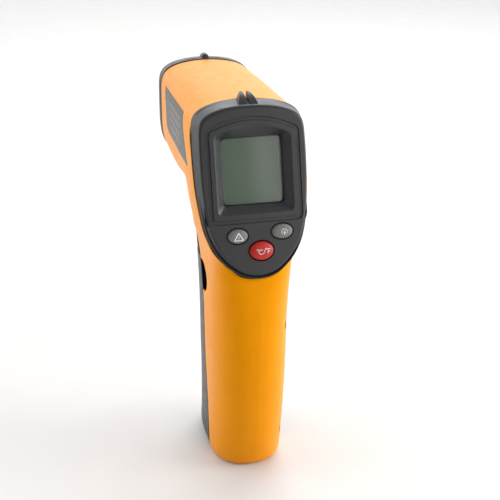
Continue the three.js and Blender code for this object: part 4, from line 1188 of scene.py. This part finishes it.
LABEL = [(7.6, 124.3), (53.5, 124.3), (58.2, 126.2), (62, 142.1), (19.8, 142.1)]


def label_sheet():
    """Film that lies on the barrel's right side, cut along the label's outline."""
    outline = arc_profile([LABEL[-1], *LABEL, LABEL[0]], 0.9, 5)[1:-1]
    angles = np.radians(np.linspace(-40, 60, 130))
    sections = [barrel_section(y) for y in np.arange(64.2, 48, -0.6)]
    sections += [turn_section(a) for a in np.arange(0, 55, 0.7)]
    bm = grid([ring(section, angles, -0.07) for section in sections])
    face_out(bm, (0, 35, 134))
    trim(bm, [(lambda p: -outside(outline, p[:, 1], p[:, 2]), 0.05)])
    return bm


def labels():
    piece(label_sheet(), "label_right_film", "body", "black_label", ["label_right"], 0.06)
    left = mirrored_sheet(label_sheet())
    piece(left, "label_left_film", "body", "black_label", ["label_left"], 0.06)


def cells():
    for name, side, up in (("battery_1", -1, 1), ("battery_2", 1, -1)):
        low, high = 15.5, 59.0
        top = [
            (5.2, -1.2), (5.05, -0.7), (4.6, -0.35), (4.2, -0.3), (3.9, -0.5), (2.4, -0.5),
            (2.1, -0.3), (1.95, 0), (1.9, 0.85), (1.7, 1), (0, 1),
        ]
        rows = [(0, low), (4.6, low), (5.0, low + 0.15), (5.2, low + 0.5)]
        rows += [(r, high + over) for r, over in top]
        if up < 0:
            rows = [(r, low + high - h) for r, h in rows]
        bm = lathe(rows, "z", (side * 5.6, 5.5, 0), 72)
        piece(bm, f"{name}_fine", "body", "battery_can", [name], sharp=40)


def display():
    """Display window with softened edges."""
    half, height, _ = WINDOW
    rows = [  # inset, height over the face
        (GAP, -4.2), (GAP, -3.25), (GAP + 0.05, -3.16), (GAP + 0.15, -3.12), (1.5, -3.1), (6, -3.08),
        (11.2, -3.07),
    ]
    corner_power = 14
    c, s = circle(160)
    size = (np.abs(c) ** corner_power + np.abs(s) ** corner_power) ** (-1 / corner_power)
    table = []
    for inset, n in rows:
        u, v = (half - inset) * c * size, (height - inset) * s * size
        table.append(np.c_[u, v, np.full(len(u), n)])
    bm = face_grid(table, closed=True)
    cap(bm)
    piece(bm, "display_window_fine", "body", "clear_window", ["display_window"])


def carried_over():
    """CAD pieces whose own shape is kept take the materials made here."""
    for name, slot in CAD_SLOTS.items():
        made = frame["nodes"][name]
        if not made.hide_render:
            made.data.materials.clear()
            made.data.materials.append(MATERIALS[slot])


# ---- Floor, light and camera

def floor():
    c, s = circle(96)
    table = []
    for radius in (0.0, 0.05, 0.2, 0.6, 1.5, 3.0, 6.0):
        table.append(np.c_[radius * c, radius * s, np.zeros(len(c))])
    bm = grid(table, closed=True)
    mesh = bpy.data.meshes.new("floor")
    bm.to_mesh(mesh)
    bm.free()
    made = linked("floor", mesh)
    finish = Finish("floor_paper", (0.71, 0.702, 0.688), 0.5)
    finish.coloured(finish.noise(60, 3), (0.705, 0.696, 0.682), (0.716, 0.708, 0.696))
    finish.uneven_gloss(20, 3, 0.45, 0.6)
    mesh.materials.append(finish.material)


def sky():
    """Bright beyond the object, dim behind the camera and straight above."""
    world = bpy.data.worlds.new("studio")
    bpy.context.scene.world = world
    world.use_nodes = True
    nodes = world.node_tree.nodes
    place = nodes.new("ShaderNodeTexCoord").outputs["Generated"]
    split = fill(nodes.new("ShaderNodeSeparateXYZ"), Vector=place)

    def eased(axis, *limits):
        made = map_range(nodes, split.outputs[axis], *limits)
        made.interpolation_type = "SMOOTHSTEP"
        return made.outputs["Result"]

    strength = nodes.new("ShaderNodeMath")
    strength.operation = "MULTIPLY"
    fill(strength, Value=eased("Y", -0.75, 0.35, 0.1, 1.75))
    links = world.node_tree.links
    links.new(eased("Z", 0.6, 1.0, 1.0, 0.5), strength.inputs[1])
    fill(nodes["Background"], Color=(0.98, 0.985, 1.0), Strength=strength.outputs[0])


def softbox(name, place, aim, size, power, colour=(1, 1, 1)):
    data = bpy.data.lights.new(name, "AREA")
    data.shape = "RECTANGLE"
    data.size, data.size_y = size
    data.energy = power
    data.color = colour
    made = linked(name, data)
    made.location = place
    made.rotation_euler = (Vector(aim) - Vector(place)).to_track_quat("-Z", "Y").to_euler()


def camera():
    """Looks at the display from above and to the left, rolled a little."""
    data = bpy.data.cameras.new("camera")
    data.sensor_width = 36
    data.lens = 62.6
    made = linked("camera", data)
    ahead = Vector((0.24779, 0.87886, -0.40767)).normalized()
    level = ahead.cross(Vector((0, 0, 1))).normalized()
    up = level.cross(ahead)
    roll = math.radians(1.19)
    right = level * math.cos(roll) + up * math.sin(roll)
    top = up * math.cos(roll) - level * math.sin(roll)
    turned = Matrix((right, top, -ahead)).transposed().to_4x4()
    made.matrix_world = Matrix.Translation((-0.08268, -0.32787, 0.22872)) @ turned
    bpy.context.scene.camera = made


def studio():
    bpy.context.scene.view_settings.view_transform = "Standard"
    floor()
    sky()
    softbox("behind", (0.35, 0.75, 1.0), (0, 0, 0.08), (1.0, 0.7), 5.6)
    softbox("front_card", (0.435, -0.66, 0.36), (0.435, 0, 0.36), (0.52, 0.66), 2.2, (1, 0.985, 0.96))
    softbox("right_window", (0.85, -0.3, 0.35), (0, 0, 0.08), (0.5, 0.6), 6.0, (1, 0.985, 0.96))
    softbox("left_window", (-0.8, 0.3, 0.25), (0, 0, 0.08), (0.6, 0.5), 1.1)
    camera()


shells()
shell_insides()
door()
trigger()
bezel()
sight_fins()
buttons()
icons()
nose()
optics()
labels()
cells()
display()
carried_over()
studio()

bpy.context.view_layer.update()
